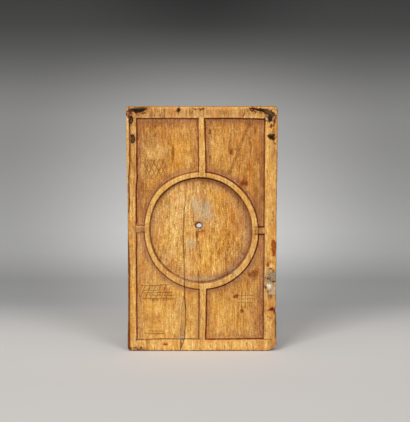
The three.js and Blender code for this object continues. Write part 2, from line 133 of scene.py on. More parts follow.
# Cuts in the face: half width, depth, darkness, points
cuts = [
    (0.26, 2.2, 0.62, splitLine),
    (0.2, 0.7, 0.4, [(-17.6, 147), (-17, 155), (-15.7, 170), (-15.2, 174)]),
    (0.3, 1.2, 1.0, [(-16.7, 44), (-17.5, 54), (-17.7, 60)]),
    (0.34, 1.4, 1.0, [(-17.7, 66.5), (-17.9, 72.5)]),
    (0.16, 0.5, 0.3, [(-21.8, 13.5), (-21.5, 25), (-20.9, 31)]),
    (0.26, 1.6, 0.85, [(-21.5, 11.4), (-20.7, 7), (-22, 3), (-22, -1)]),
    (0.2, 0.7, 0.6, [(-18.6, 11.6), (-19.9, 8.4), (-21.2, 4.6)]),
    (0.4, 0.5, 0.55, [(-3.4, 12.5), (-3.4, 40), (-3.1, 63)]),
    (0.2, 0.45, 0.6, [(-3.2, 63), (-3.5, 72), (-3.3, 82.5)]),
    (0.16, 0.3, 0.34, [(-5.8, 123), (-4.9, 117), (-5.4, 103)]),
    (0.2, 0.35, 0.6, [(-3.4, 113), (-2.6, 107), (-1.6, 96)]),
    (0.14, 0.3, 0.35, [(-8.2, 143), (-8.9, 133)]),
    # knife lines that overrun the corners
    (0.22, 0.5, 0.6, [(-3.6, 237.5), (-3.5, 240.2)]),
    (0.22, 0.5, 0.6, [(-67.3, 12.2), (-67.4, 9.8)]),
    (0.22, 0.5, 0.6, [(62.4, 12.0), (67.2, 12.1)]),
    (0.2, 0.5, 0.6, [(-3.7, 186), (-3.8, 177.6)]),
    (0.2, 0.5, 0.6, [(4.1, 186), (4.0, 177.4)]),
    (0.2, 0.4, 0.45, [(-12, 183), (-12.1, 176.5)]),
    (0.26, 0.3, 0.5, [(-66, 122.6), (-61, 123.1), (-57, 122.7)]),
    (0.18, 0.2, 0.4, [(-65.4, 129.4), (-63, 129.6)]),
    (0.18, 0.2, 0.4, [(-61.2, 129.2), (-58.5, 129.6)]),
    (0.3, 0.8, 0.9, [(52.5, 120.7), (57.5, 120.6), (63.2, 120.7)]),
    (0.26, 0.6, 0.8, [(52.8, 128.0), (57.5, 128.1), (63.2, 127.9)]),
    (0.18, 0.4, 0.5, [(57.4, 118.5), (57.6, 130.5)]),
    # a groove beside the ring's upper left
    (0.26, 0.3, 0.4, [(-52.5, 155), (-49.5, 161.5), (-45.5, 167.5), (-40, 172.8)]),
    # fine scratches, upper left panel
    (0.15, 0.16, 0.34, [(-59.6, 179.5), (-52.4, 196.5)]),
    (0.15, 0.16, 0.36, [(-56.2, 177.2), (-47.4, 196.0)]),
    (0.15, 0.16, 0.34, [(-51.6, 176.6), (-42.6, 196.8)]),
    (0.15, 0.16, 0.34, [(-46.8, 178.0), (-39.0, 194.6)]),
    (0.15, 0.16, 0.3, [(-42.2, 179.4), (-36.4, 191.8)]),
    (0.15, 0.16, 0.34, [(-59.4, 194.2), (-50.6, 176.8)]),
    (0.15, 0.16, 0.34, [(-55.0, 196.4), (-45.4, 177.2)]),
    (0.15, 0.16, 0.36, [(-50.2, 196.6), (-40.4, 178.6)]),
    (0.15, 0.16, 0.32, [(-44.8, 196.2), (-37.0, 182.6)]),
    (0.14, 0.14, 0.3, [(-11, 187), (-11.1, 194)]),
    (0.18, 0.18, 0.45, [(-29.2, 194), (-29.3, 211)]),
    # upper right panel, long slanting pair
    (0.2, 0.2, 0.5, [(47.6, 232), (38.6, 208), (28.5, 182)]),
    (0.19, 0.18, 0.4, [(44.8, 229), (36.4, 207), (26.6, 182)]),
    (0.14, 0.14, 0.3, [(45.6, 230), (41, 218)]),
    (0.14, 0.14, 0.35, [(53.5, 222.5), (53.7, 227)]),
    (0.2, 0.2, 0.6, [(8.4, 222.5), (8.2, 227)]),
    # lower left panel, a scratched lattice
    (0.17, 0.2, 0.46, [(-62, 67.6), (-46, 67.4), (-33, 68.6)]),
    (0.16, 0.18, 0.42, [(-60, 62.6), (-46, 62.4)]),
    (0.16, 0.18, 0.42, [(-58, 60), (-31, 60.3)]),
    (0.16, 0.18, 0.4, [(-53, 57.5), (-29, 57.3)]),
    (0.17, 0.2, 0.46, [(-60, 54), (-44, 54.1), (-25, 54.3)]),
    (0.15, 0.16, 0.34, [(-51, 52.4), (-27, 52.7)]),
    (0.16, 0.18, 0.4, [(-52, 68.4), (-58.2, 53.2)]),
    (0.16, 0.18, 0.4, [(-46.8, 68.2), (-52.8, 53.6)]),
    (0.16, 0.18, 0.38, [(-57.4, 68.6), (-62.4, 55.6)]),
    (0.15, 0.16, 0.36, [(-41.6, 67.6), (-47.4, 53.4)]),
    (0.15, 0.16, 0.34, [(-36.6, 67.8), (-42.2, 53.2)]),
    (0.15, 0.16, 0.3, [(-31.8, 66.6), (-36.8, 53.8)]),
    (0.15, 0.14, 0.3, [(-26, 50), (-26.1, 60)]),
    (0.17, 0.16, 0.42, [(-59, 18.3), (-49, 17.4), (-38, 17.9)]),
    (0.14, 0.12, 0.3, [(-55, 20.4), (-41, 20)]),
    # lower right panel, a crossed mark
    (0.17, 0.2, 0.4, [(40.6, 44.4), (40.5, 61.4)]),
    (0.16, 0.18, 0.36, [(44.5, 44.8), (44.6, 61.0)]),
    (0.16, 0.18, 0.32, [(48.4, 45.6), (48.5, 60.6)]),
    (0.16, 0.18, 0.38, [(36.4, 57.2), (52.2, 57.4)]),
    (0.16, 0.16, 0.34, [(37.0, 53.4), (52.6, 53.5)]),
    (0.16, 0.16, 0.32, [(36.8, 49.8), (51.6, 49.9)]),
    # insect tracks beside the filler
    (0.5, 0.5, 0.45, [(66.8, 88.6), (67.1, 90.6)]),
    (0.4, 0.5, 0.45, [(68.8, 85.0), (70.6, 85.6)]),
    (0.3, 0.4, 0.5, [(72.6, 84.2), (73.2, 82.6)]),
    (0.26, 0.4, 0.6, [(66.3, 35.6), (67.7, 36.2)]),
    (0.26, 0.4, 0.6, [(68.8, 34.4), (70, 34.2)]),
    (0.22, 0.4, 0.5, [(66.9, 32.6), (67.9, 32.0)]),
    # short cracks in the rails
    (0.16, 0.3, 0.5, [(-38, 238.4), (-38.1, 247.6)]),
    (0.14, 0.25, 0.35, [(-12, 241.5), (-12.1, 248)]),
    (0.14, 0.25, 0.35, [(22.5, 240.5), (22.4, 246)]),
    (0.2, 0.3, 0.6, [(45.4, 6), (45.6, 8.6)]),
    (0.18, 0.3, 0.5, [(9, 3.6), (9, 7)]),
    (0.16, 0.3, 0.45, [(23.3, 0.6), (23.4, 6)]),
    (0.16, 0.3, 0.4, [(41, 239.6), (43.5, 244), (43, 247)]),
    # ticks across the ring
    (0.2, 0.25, 0.4, [(36.4, 77.2), (38.6, 74.6)]),
    (0.2, 0.25, 0.4, [(31.0, 73.8), (32.8, 71.4)]),
    (0.2, 0.25, 0.45, [(41.0, 81.0), (43.6, 79.2)]),
    (0.2, 0.25, 0.35, [(22.6, 70.4), (24.2, 67.2)]),
    (0.2, 0.25, 0.35, [(46.4, 157.0), (48.6, 158.4)]),
    (0.2, 0.25, 0.3, [(-52.4, 139.2), (-55.6, 140.2)]),
    (0.2, 0.25, 0.3, [(-30.0, 171.0), (-31.6, 173.4)]),
    (0.2, 0.25, 0.35, [(-36.0, 79.8), (-38.0, 77.6)]),
    (0.2, 0.25, 0.3, [(14.8, 178.4), (15.4, 181.4)]),
    # dents in the top edge
    (0.34, 0.4, 0.8, [(-10.4, 249.4), (-8.6, 247.9), (-6.2, 247.3)]),
    (0.3, 0.4, 0.7, [(-4.6, 248.6), (-2.0, 247.4), (0.6, 247.6)]),
    (0.26, 0.3, 0.6, [(1.2, 249.2), (3.8, 248.3)]),
    (0.2, 0.3, 0.5, [(-9.7, 246.2), (-9.4, 244.4)]),
    (0.3, 0.2, 0.32, [(72.8, 222), (73.3, 229), (72.4, 236), (73.2, 243)]),
    # dark specks in and round the filler
    (0.4, 0.3, 0.7, [(66.6, 75.4), (68.0, 74.6)]),
    (0.3, 0.3, 0.6, [(71.2, 72.4), (74.0, 71.6)]),
    (0.3, 0.2, 0.55, [(64.8, 66.8), (65.4, 65.4)]),
    (0.3, 0.2, 0.5, [(66.2, 64.0), (67.4, 63.4)]),
]

# Pits and insect holes: x, z, radius, depth, darkness
pits = [
    (71.2, 43.8, 1.2, 1.4, 0.95), (69.6, 42.6, 0.9, 0.9, 0.8), (69.5, 230.0, 1.1, 0.6, 0.8),
    (74.4, 235.0, 0.8, 0.5, 0.7), (73.5, 213.0, 0.7, 0.4, 0.7), (28.8, 106.7, 0.6, 0.4, 0.6),
    (-42.5, 11.0, 0.6, 0.4, 0.6), (67.6, 61.8, 0.8, 0.6, 0.5), (17.0, 216, 0.6, 0.3, 0.5),
    (34.1, 207, 0.7, 0.3, 0.55), (8.0, 199.0, 0.7, 0.3, 0.6), (52.8, 33.8, 0.5, 0.5, 0.5),
    (-34, 31, 0.5, 0.4, 0.45), (22, 148, 0.5, 0.4, 0.45), (0.8, 124.5, 0.6, 0.3, 0.5),
    (2.2, 121.8, 0.5, 0.3, 0.45), (-24, 101, 0.5, 0.3, 0.4), (14, 133, 0.6, 0.3, 0.4),
    (66.4, 20.5, 0.6, 0.4, 0.5), (-70.6, 172, 0.5, 0.3, 0.5), (-69.4, 98, 0.5, 0.3, 0.4),
    (-72, 86, 0.5, 0.3, 0.5), (68.2, 176, 0.5, 0.3, 0.5), (72.6, 160, 0.5, 0.3, 0.5),
]

# Dark warm stains that sit in the wood: x, z, half width, half height, strength
warmStains = [
    (27.6, 210.0, 1.6, 4.6, 0.6), (29.4, 204.6, 1.9, 3.2, 0.9), (42.6, 172.6, 3.6, 3.4, 0.95),
    (43.6, 177.2, 2.2, 3.4, 0.5), (39.0, 169.6, 2.4, 2.0, 0.45), (36.0, 174.5, 1.6, 1.4, 0.4),
    (34.2, 55.8, 2.6, 1.5, 1.2), (35.4, 57.2, 1.3, 2.0, 1.0), (40.7, 41.2, 2.0, 2.4, 1.4),
    (40.5, 44.6, 0.8, 1.6, 0.7), (48.6, 79.0, 1.8, 2.2, 1.0), (52.4, 79.4, 4.8, 4.4, 0.7),
    (53.0, 75.0, 3.4, 2.4, 0.4), (55.4, 84.0, 2.2, 2.4, 0.3), (-37.5, 7.3, 2.4, 1.1, 1.1),
    (72.4, 111.5, 2.8, 3.6, 1.4), (73.2, 104.5, 2.6, 6.8, 1.3), (71.8, 143.0, 1.5, 1.3, 0.7),
    (72.9, 139.4, 0.8, 2.6, 0.6), (71.2, 135.0, 1.5, 1.1, 0.6), (70.2, 138.0, 0.7, 2.0, 0.4),
    (-4.9, 119.5, 1.6, 5.0, 0.7), (0.4, 123.4, 2.6, 1.2, 0.7), (67.0, 89.6, 1.3, 2.4, 0.9),
    (69.6, 92.2, 2.2, 0.9, 0.7), (69.6, 85.2, 2.4, 1.0, 0.9), (72.2, 83.4, 1.0, 1.8, 0.8),
    (67.4, 84.4, 1.0, 1.6, 0.5), (67.4, 75.0, 2.2, 1.6, 0.6), (72.8, 72.0, 2.2, 0.9, 0.9),
    (65.2, 66.4, 1.3, 1.8, 0.7), (72.6, 68.8, 1.0, 2.4, 0.4), (-29.3, 202, 1.0, 8, 0.55),
    (14.2, 106, 0.8, 5.0, 0.65), (33.9, 207.4, 1.2, 1.2, 0.7), (8.3, 225.2, 0.9, 2.4, 0.75),
    (8.0, 199.2, 0.8, 1.6, 0.6), (69.4, 230.6, 1.7, 2.0, 1.0), (-23.8, 243.2, 0.9, 3.4, 0.8),
    (-24.6, 246.0, 2.2, 1.2, 0.6), (2, 152, 2, 9, 0.3), (24, 92, 1.4, 8, 0.5), (17.5, 99, 1.2, 6, 0.5),
    (-34, 138, 1.4, 7, 0.3), (31, 138, 2.4, 8, 0.4), (26, 118, 2.6, 7, 0.35), (36, 126, 2.2, 7, 0.35),
    (9, 92, 1.0, 5, 0.4), (-8, 90, 1.2, 7, 0.3), (-8.4, 248.9, 2.6, 0.9, 0.5),
    (-1.6, 248.6, 2.6, 0.8, 0.5), (73.0, 43.0, 2.2, 3.4, 1.1), (69.6, 43.4, 1.8, 1.6, 1.0),
    (69.6, 56.6, 1.6, 1.5, 0.8), (67.2, 61.8, 1.4, 1.0, 0.5), (-73.0, 245.8, 1.6, 2.4, 0.9),
    (73.0, 233.6, 1.4, 3.4, 0.8), (74.6, 240.0, 1.2, 4.0, 0.7), (73.6, 213.2, 1.0, 1.2, 0.8),
    (71.8, 226.4, 1.0, 1.6, 0.5), (67.0, 230.0, 0.8, 3.0, 0.4), (-66, 3.4, 9, 3.0, 0.15),
    (-71, 1.2, 5, 1.4, 0.35), (52, 247.6, 20, 1.4, 0.3), (-58.5, 249.2, 8, 1.0, 0.6),
    (40.5, 243.0, 3.6, 3.2, 0.45), (-50, 241.5, 6, 1.0, 0.4), (-44, 186, 1.6, 5, 0.35),
    (-60, 166, 1.6, 10, 0.35), (-53.5, 149, 2.0, 8, 0.3), (-58, 98, 2.0, 9, 0.35),
    (57, 60, 1.6, 8, 0.3), (-28, 47, 1.2, 5, 0.35), (-37, 60, 3.4, 5, 0.35), (20, 190, 1.2, 6, 0.35),
    (22, 214, 1.2, 8, 0.35), (56, 200, 2.4, 9, 0.4), (60, 182, 1.6, 9, 0.45), (47, 190, 1.6, 6, 0.4),
    (71.8, 152, 1.0, 4, 0.4), (66.0, 184, 0.8, 3, 0.45), (-70.2, 190, 0.9, 6, 0.4),
    (-70.6, 150, 0.8, 5, 0.4), (-71.4, 120, 0.9, 6, 0.4), (72.4, 28, 1.2, 4, 0.4),
    (70.4, 12, 1.6, 1.4, 0.4),
]
# Black specks scattered over the wood: x, z, half width, half height, strength
sootPatches = [
    (69.0, 240.0, 6.0, 9.6, 1.0), (-73, 243.5, 4.4, 7, 0.8), (73.0, 243, 3.6, 7, 0.8),
    (57, 246.8, 13, 2.8, 0.8), (-65, 246.6, 11, 3.8, 0.8), (-3, 247.8, 8, 1.8, 0.6),
    (-72, 237, 2.2, 6, 0.6), (-69.5, 217.5, 2.4, 5.5, 0.7), (70.2, 219.6, 4.4, 4.2, 0.7),
    (71, 229, 3, 5, 0.6), (-66, 2.6, 11, 2.4, 0.7), (68, 75, 4.4, 5, 0.6), (65.4, 66.5, 1.6, 2.4, 0.9),
    (69.2, 56.8, 2.4, 2.2, 0.8), (72.8, 72, 2.4, 2, 0.8), (-23.4, 247, 2.6, 2.6, 0.6),
    (30, 79.5, 9, 4, 0.35), (-30, 83, 8, 6, 0.3), (-4, 128.6, 6, 6, 0.4), (70.4, 43.4, 3, 2.6, 0.8),
]
# Grey ash-like patches: x, z, half width, half height, strength
greyStains = [
    (-5.5, 149, 5.6, 9.5, 1.1), (-9.2, 152, 3.4, 5, 0.7), (4.2, 145, 5.4, 9.4, 1.5),
    (68.4, 240.5, 5.4, 7.0, 0.9), (-75.0, 241, 2.6, 9, 0.6), (-71, 248.0, 5, 2.4, 0.6),
    (74.4, 243, 2.0, 7, 0.5), (8.6, 139, 3.0, 6, 0.6), (0.4, 137, 4.2, 5, 0.6),
    (-10.6, 110.5, 4.6, 6.0, 0.85), (-13.6, 111.5, 2.4, 3, 0.5), (-34.5, 149, 4, 2.4, 0.45),
    (-30, 100, 4, 9, 0.12), (65.2, 77.5, 2.6, 5.5, 0.8), (68.8, 83.0, 4.6, 2.6, 0.7),
    (64.6, 70.5, 1.8, 4.0, 0.4), (66.6, 58.6, 3.0, 2.2, 0.45), (70.5, 56.8, 2.2, 1.6, 0.5),
    (-14, 12.8, 11, 1.1, 0.55), (-30, 13.0, 5, 1.0, 0.45), (-21.6, 13.2, 4.4, 2.0, 0.6),
    (-19.6, 22, 1.8, 8, 0.4), (0, 74.4, 32, 3.0, 0.55), (32, 83, 7, 5, 0.5), (45.5, 122, 4, 20, 0.2),
    (41, 98, 4, 8, 0.25), (0.6, 128.0, 2.4, 3.4, 0.7), (-2.6, 125.4, 3.0, 1.6, 0.7),
    (4.5, 155, 5, 4, 0.35),
]

# How dark the line along each wall is, painted shade and dirt together, and how far dirt has browned
# the floor beside it. Rows are the upper left, upper right, lower left and lower right panel. Columns
# are the stile, the rail, the ring, the spine and the rib.
wallDirtAndShade = {
    "line": (
        (1.15, 0.8, 0.5, 0.85, 0.1), (0.78, 1.1, 0.9, 1.05, 1.0),
        (1.05, 0.55, 0.65, 0.5, 0.1), (0.72, 0.95, 1.15, 1.05, 1.0),
    ),
    "margin": (
        (0.95, 0.9, 0.9, 0.45, 0.9), (0.85, 0.95, 1.0, 0.6, 0.9),
        (0.55, 0.1, 1.0, 0.15, 0.9), (1.0, 0.6, 1.0, 0.55, 1.0),
    ),
    "reach": (3.0, 7.6),
    "blur": 0.9,
    # the same round the dish: direction in degrees, darkness of the line, strength and reach of the
    # brown slope, both painted shade with dirt and darkest under the upper rim, strength of the margin
    # beyond it
    "dish": (
        (-180, 0.7, 0.7, 3.2, 0.35), (-150, 0.7, 0.65, 3.2, 0.35), (-112, 0.25, 0.3, 2.8, 0.6),
        (-67, 0.3, 0.75, 5.4, 1.0), (-22, 0.15, 0.55, 5.8, 1.0), (22, 0.2, 0.75, 5.6, 1.0),
        (67, 0.8, 1.0, 6.2, 1.0), (112, 1.1, 1.0, 4.0, 0.4), (157, 0.55, 0.75, 3.8, 0.3),
        (180, 0.7, 0.7, 3.2, 0.35),
    ),
}

# Darkness of the lines and marks in the wood and of the painted shade and highlight, from 0 to 1, with
# widths in millimetres
marks = {
    "edgeLine": 0.85,  # painted shade up the lower right edge
    "edgeShade": 0.4,  # painted shade along the rest of the right edge
    "leastWidth": 0.32,
    "scratchWidth": 0.185,  # narrower cuts are scratches with a pale burr
    "burr": 0.2,
    "rubbed": 0.07,  # how much paler the wood is along the top of a wall: rubbed wear with a painted highlight
    # painted shadow in the upper left of the bore's mouth, and painted shade all round it
    "aboveMouth": 0.95,
    "roundMouth": 0.3,
    "arris": 0.95,
    # painted shade on the strip beyond the left arris, low down
    "lowStrip": 0.36,
    # painted contact shadow along the bottom edge
    "foot": 0.95,
    "seam": (0.7, 0.0),
}

# How light the wood is, from 0 dark to 1 pale: the parts, then soft patches of lighter or darker
# wood with x, z, half width, half height, shift in tone, share of pink
tones = {
    "frame": 0.6,
    "ring": 0.65,
    "upperLeft": 0.46,
    "upperRight": 0.43,
    "lowerLeft": 0.63,
    "lowerRight": 0.53,
    "dish": 0.585,
}
patches = [
    (-52, 226, 14, 13, -0.06, 0.1), (-47, 205, 14, 9, 0.18, 0.0), (-20, 200, 12, 13, 0.14, 0.0),
    (-15, 229, 10, 9, 0.08, 0.2), (-38, 222, 6, 16, -0.07, 0.0), (-60, 162, 7, 20, -0.06, 0.3),
    (-33, 188, 5, 8, 0.06, 0.0), (16, 212, 8, 22, 0.16, 0.0), (22, 193, 8, 12, 0.1, 0.0),
    (52, 212, 11, 24, -0.05, 0.0), (56, 233, 10, 7, -0.1, 0.5), (38, 226, 6, 10, 0.05, 0.0),
    (57, 156, 6, 20, -0.1, 0.35), (33, 190, 5, 10, 0.05, 0.0), (-30, 120, 12, 34, 0.08, 0.0),
    (-22, 162, 9, 13, 0.14, 0.0), (12, 164, 14, 9, 0.06, 0.0), (24, 134, 15, 13, -0.05, 0.0),
    (30, 104, 13, 14, -0.03, 0.0), (-6, 88, 16, 8, 0.12, 0.0), (20, 85, 12, 7, 0.1, 0.0),
    (-40, 143, 6, 20, -0.07, 0.15), (-12, 130, 5, 20, 0.04, 0.0), (42, 124, 7, 26, -0.06, 0.3),
    (-38, 234, 34, 6, -0.12, 0.5), (34, 235, 32, 5, -0.07, 0.4), (60.5, 205, 4, 34, -0.05, 0.35),
    (60, 45, 4, 32, -0.07, 0.35), (50, 73, 8, 8, -0.06, 0.3), (-63, 205, 4, 34, -0.05, 0.35),
    (-37, 60, 7, 8, -0.07, 0.0), (-50, 34, 11, 5, -0.05, 0.25), (-30, 30, 10, 14, 0.1, 0.0),
    (-50, 45, 14, 7, 0.1, 0.0), (-10, 36, 5, 22, 0.03, 0.0), (-20, 21, 2.2, 9, -0.06, 0.9),
    (17, 34, 9, 20, 0.12, 0.0), (56, 42, 9, 30, -0.06, 0.4), (24, 64, 14, 7, -0.04, 0.0),
    (34, 24, 9, 8, 0.05, 0.0), (66, 150, 2.4, 110, 0.06, 0.0), (72, 207, 3, 18, -0.1, 0.5),
    (-50, 5, 18, 6, 0.08, 0.0), (30, 6, 34, 5, 0.1, 0.0), (-69, 60, 2, 60, 0.06, 0.0),
    (-70, 195, 6, 45, -0.06, 0.0), (-67.5, 195, 1.4, 45, -0.1, 0.3), (0, 244, 78, 5, -0.11, 0.1),
    (69, 25, 5, 22, 0.15, 0.0), (74.6, 238, 1.6, 12, 0.2, 0.35), (-75.4, 236, 1.2, 10, 0.1, 0.0),
    (2, 60, 3, 50, 0.08, 0.0), (1, 210, 3, 26, 0.06, 0.0), (36, 78, 9, 7, 0.24, 0.0),
    (70.4, 88.2, 1.9, 1.7, 0.55, 0.3), (70.8, 82.4, 1.6, 1.4, 0.55, 0.25), (68, 64, 5, 5, 0.12, 0.0),
    (60.5, 124.2, 2.6, 1.6, 0.26, 0.0), (-61.5, 126.3, 6.5, 4.5, -0.14, 0.75),
    (58, 124, 5, 4, -0.3, 0.5), (-63, 127, 1.8, 1.4, 0.12, 0.0), (-67.5, 126, 2.2, 4, -0.06, 0.4),
    (-66, 2.5, 11, 2.5, -0.05, 0.3), (0, 246, 80, 3, -0.04, 0.1), (-58, 243, 12, 4, -0.08, 0.1),
    (56, 243, 14, 4, -0.1, 0.1), (-30, 243, 14, 4, 0.03, 0.0), (70, 168, 3, 12, 0.05, 0.0),
    (68, 66, 7, 14, -0.08, 0.2), (72, 88, 3, 6, -0.04, 0.0), (40, 44, 22, 22, 0.06, 0.0),
    (-15, 18, 12, 9, 0.12, 0.0), (5, 5, 12, 6, 0.1, 0.0), (-61, 190, 4, 14, 0.12, 0.0),
    (-30, 114, 3, 9, -0.1, 0.0), (-39, 98, 5, 6, -0.08, 0.0), (56, 88, 5, 16, -0.06, 0.0),
    (-66, 102, 4, 14, -0.1, 0.0), (-37, 212, 4, 8, 0.1, 0.0), (32, 198, 7, 8, 0.06, 0.0),
    (14, 72, 7, 3, 0.1, 0.0), (26, 35, 7, 7, 0.08, 0.0), (-36, 60, 5, 5, 0.1, 0.0),
    (74.5, 103, 2, 10, 0.1, 0.0), (-20, 148, 7, 10, 0.1, 0.0), (48, 136, 4, 12, 0.08, 0.0),
    (-43, 186, 7, 10, 0.16, 0.0), (-61, 155, 4, 12, 0.12, 0.0), (-35, 237, 34, 2.6, 0.1, 0.0),
    (27, 225, 5, 20, 0.1, 0.0), (28, 200, 6, 12, 0.08, 0.0), (-10, 165, 6, 12, 0.1, 0.0),
    (-42, 130, 8, 20, 0.08, 0.0), (4, 112, 12, 10, 0.13, 0.0), (8, 98, 12, 10, 0.08, 0.0),
    (-18, 105, 5, 12, 0.08, 0.0), (-18, 22, 5, 26, 0.12, 0.0), (-14, 6, 9, 8, 0.22, 0.0),
    (1, 38, 5, 16, 0.1, 0.0), (46, 55, 12, 10, 0.1, 0.0), (63, 180, 3, 10, 0.15, 0.0),
    (23, 153, 7, 6, -0.12, 0.0), (28, 122, 12, 10, -0.1, 0.0), (35, 108, 6, 8, -0.08, 0.0),
    (54, 84, 7, 9, -0.12, 0.0), (65, 124, 3, 6, -0.15, 0.0), (45, 14, 14, 6, -0.05, 0.0),
    (-38, 46, 8, 7, -0.1, 0.0), (14, 200, 4, 14, -0.08, 0.0), (-26, 195, 5, 14, -0.06, 0.0),
    (-12, 196, 4, 5, -0.1, 0.0), (-72, 225, 4, 8, -0.12, 0.0), (-66, 243, 8, 6, -0.08, 0.0),
    (36, 172, 10, 8, -0.06, 0.0), (0, 184, 5, 4, -0.12, 0.0), (40, 243, 6, 6, 0.1, 0.0),
    (-8, 244, 6, 8, 0.1, 0.0), (0, 6, 72, 6, 0.06, 0.0), (-2, 72.5, 24, 2.8, -0.08, 0.6),
    (0, 128, 4, 8, -0.03, 0.2), (-1.9, 40, 0.7, 30, -0.2, 0.6),
]
# More orange wood, then duller wood: x, z, half width, half height, strength
orangePatches = [
    (-26, 200, 7, 18, 1.0), (-14, 215, 6, 12, 0.6), (1, 212, 2.5, 26, 0.4), (20, 150, 6, 14, 1.1),
    (24, 118, 8, 16, 1.2), (11, 118, 14, 10, 0.5), (8, 100, 12, 18, 0.7), (27, 140, 8, 14, 0.6),
    (34, 162, 8, 8, 0.5), (12, 52, 12, 12, 0.8), (25, 30, 20, 14, 0.4), (-48, 34, 14, 26, 0.5),
    (-30, 60, 14, 8, 0.4), (-4, 60, 4, 10, 0.6), (0, 5, 70, 6, 0.6), (66, 185, 4, 24, 0.4),
    (72, 85, 4, 12, 0.6), (71, 112, 4, 14, 0.7), (-38, 118, 10, 14, 0.4), (-72, 50, 3, 70, 0.4),
    (-18, 18, 4, 14, 0.5), (46, 232, 5, 6, 0.4), (-74.5, 120, 2.5, 28, 1.1), (-73.5, 50, 3, 46, 0.9),
    (8, 160, 8, 8, 0.7), (0, 88, 16, 8, 0.4), (46, 142, 5, 16, 0.5), (-60, 66, 10, 8, 0.5),
    (-2, 122, 10, 6, 0.5), (42, 100, 4, 12, 0.5), (40, 22, 16, 5, 0.4),
]
dullPatches = [
    (-54, 210, 12, 14, 0.9), (-58, 187, 6, 10, 0.7), (-38, 226, 6, 10, 0.7), (-28, 235, 14, 6, 0.5),
    (2, 142, 9, 12, 1.2), (-6, 152, 9, 16, 0.6), (-46, 130, 5, 18, 0.7), (-38, 97, 6, 10, 0.5),
    (-62, 105, 5, 22, 0.9), (-58, 80, 10, 18, 0.7), (-50, 68, 8, 8, 0.4), (53, 85, 10, 14, 0.9),
    (62, 66, 6, 12, 0.6), (55, 20, 14, 8, 0.6), (28, 21, 18, 4, 0.6), (54, 222, 8, 10, 0.7),
    (36, 228, 8, 8, 0.5), (45, 198, 6, 5, 0.8), (30, 176, 10, 8, 0.5), (38, 140, 7, 14, 0.5),
    (54, 150, 4, 16, 0.4), (-15, 80, 6, 14, 0.5), (-12, 105, 6, 14, 0.4), (-20, 45, 8, 12, 0.3),
    (62, 124, 4, 6, 0.5), (0, 241, 72, 6, 0.45), (-71, 110, 4, 24, 0.4), (32, 104, 8, 6, 0.5),
    (8, 212, 4, 20, 0.5), (50, 100, 5, 20, 0.4), (-70, 225, 5, 24, 0.5), (-64, 130, 5, 14, 0.7),
    (-38, 206, 5, 14, 0.6), (-12, 225, 7, 10, 0.6), (60, 100, 4, 14, 0.6), (62, 62, 7, 12, 0.5),
    (-60, 24, 6, 12, 0.5), (-62, 14, 12, 3, 0.7), (12, 54, 10, 8, 0.5), (50, 160, 10, 8, 0.4),
    (-20, 152, 8, 14, 0.3), (-10, 98, 5, 14, 0.4),
]


def rise(value, low, high):
    share = np.clip((value - low) / (high - low), 0, 1)
    return share * share * (3 - 2 * share)


def alongLine(pairs, at):
    places, values = zip(*pairs)
    return np.interp(at, places, values)


def columns(*values):
    return np.stack(values, 1)


scramble = (374761393, 668265263, 974634777, 1274126177)  # large odd numbers


def softNoise(x, z, sizeX, sizeZ, seed):
    # smooth random field between -1 and 1, one bump for each sizeX by sizeZ
    u = x / sizeX + 512.0
    v = z / sizeZ + 512.0
    i = np.floor(u).astype(np.int64)
    j = np.floor(v).astype(np.int64)
    across = (u - i) ** 2 * (3 - 2 * (u - i))
    upward = (v - j) ** 2 * (3 - 2 * (v - j))

    def corner(a, b):
        h = (a * scramble[0] + b * scramble[1] + seed * scramble[2]) & 0xFFFFFFFF
        h = ((h ^ (h >> 13)) * scramble[3]) & 0xFFFFFFFF
        return ((h ^ (h >> 16)) & 0xFFFFFF) / 0xFFFFFF * 2 - 1

    low = corner(i, j) * (1 - across) + corner(i + 1, j) * across
    high = corner(i, j + 1) * (1 - across) + corner(i + 1, j + 1) * across
    return low * (1 - upward) + high * upward


def noises(x, z, *layers, base=0.0):
    # noise of several sizes on top of a base: strength, size across, size along, seed
    total = base
    for strength, sizeX, sizeZ, seed in layers:
        total = total + strength * softNoise(x, z, sizeX, sizeZ, seed)
    return total


def ovalShare(x, z, cx, cz, halfX, halfZ):
    # 0 in the middle of an oval, 1 on its line
    return np.hypot((x - cx) / halfX, (z - cz) / halfZ)


def ellipseGap(x, z, centre, half, swells=()):
    # distance outside a hand-drawn ellipse, negative inside
    dx = x - centre[0]
    dz = z - centre[1]
    share = np.sqrt((dx / half[0]) ** 2 + (dz / half[1]) ** 2) + 1e-9
    return (share - 1) * np.hypot(dx, dz) / share - swelling(np.arctan2(dz, dx), swells)


def swelling(turn, swells):
    total = np.zeros(np.shape(turn))
    for amount, middle, spread in swells:
        off = (np.degrees(turn) - middle + 180) % 360 - 180
        total = total + amount * np.exp(-0.5 * (off / spread) ** 2)
    return total


def ringGap(x, z):
    return ellipseGap(x, z, leaf["ringCentre"], leaf["ringHalf"], leaf["ringSwell"])


def dishGap(x, z):
    return -ellipseGap(x, z, leaf["dishCentre"], leaf["dishHalf"], leaf["dishSwell"])


def spineSides(z):
    return alongLine(leaf["spineLeft"], z), alongLine(leaf["spineRight"], z)


def fieldGap(x, z):
    return np.minimum.reduce([
        x - alongLine(leaf["fieldLeft"], z), alongLine(leaf["fieldRight"], z) - x,
        z - alongLine(leaf["fieldLow"], x), alongLine(leaf["fieldHigh"], x) - z,
    ])


def ribGap(x, z):
    low, high = (np.where(x < 0, *sides) for sides in zip(leaf["leftRib"], leaf["rightRib"]))
    return np.maximum(low - z, z - high)


def panelGap(x, z):
    # distance into a sunk panel from its walls, negative on the raised wood
    left, right = spineSides(z)
    spine = np.maximum(left - x, x - right)
    return np.minimum.reduce([fieldGap(x, z), ringGap(x, z), spine, ribGap(x, z)])


def inRib(x, z):
    return (fieldGap(x, z) > 0) & (ringGap(x, z) > 0) & (ribGap(x, z) < 0)


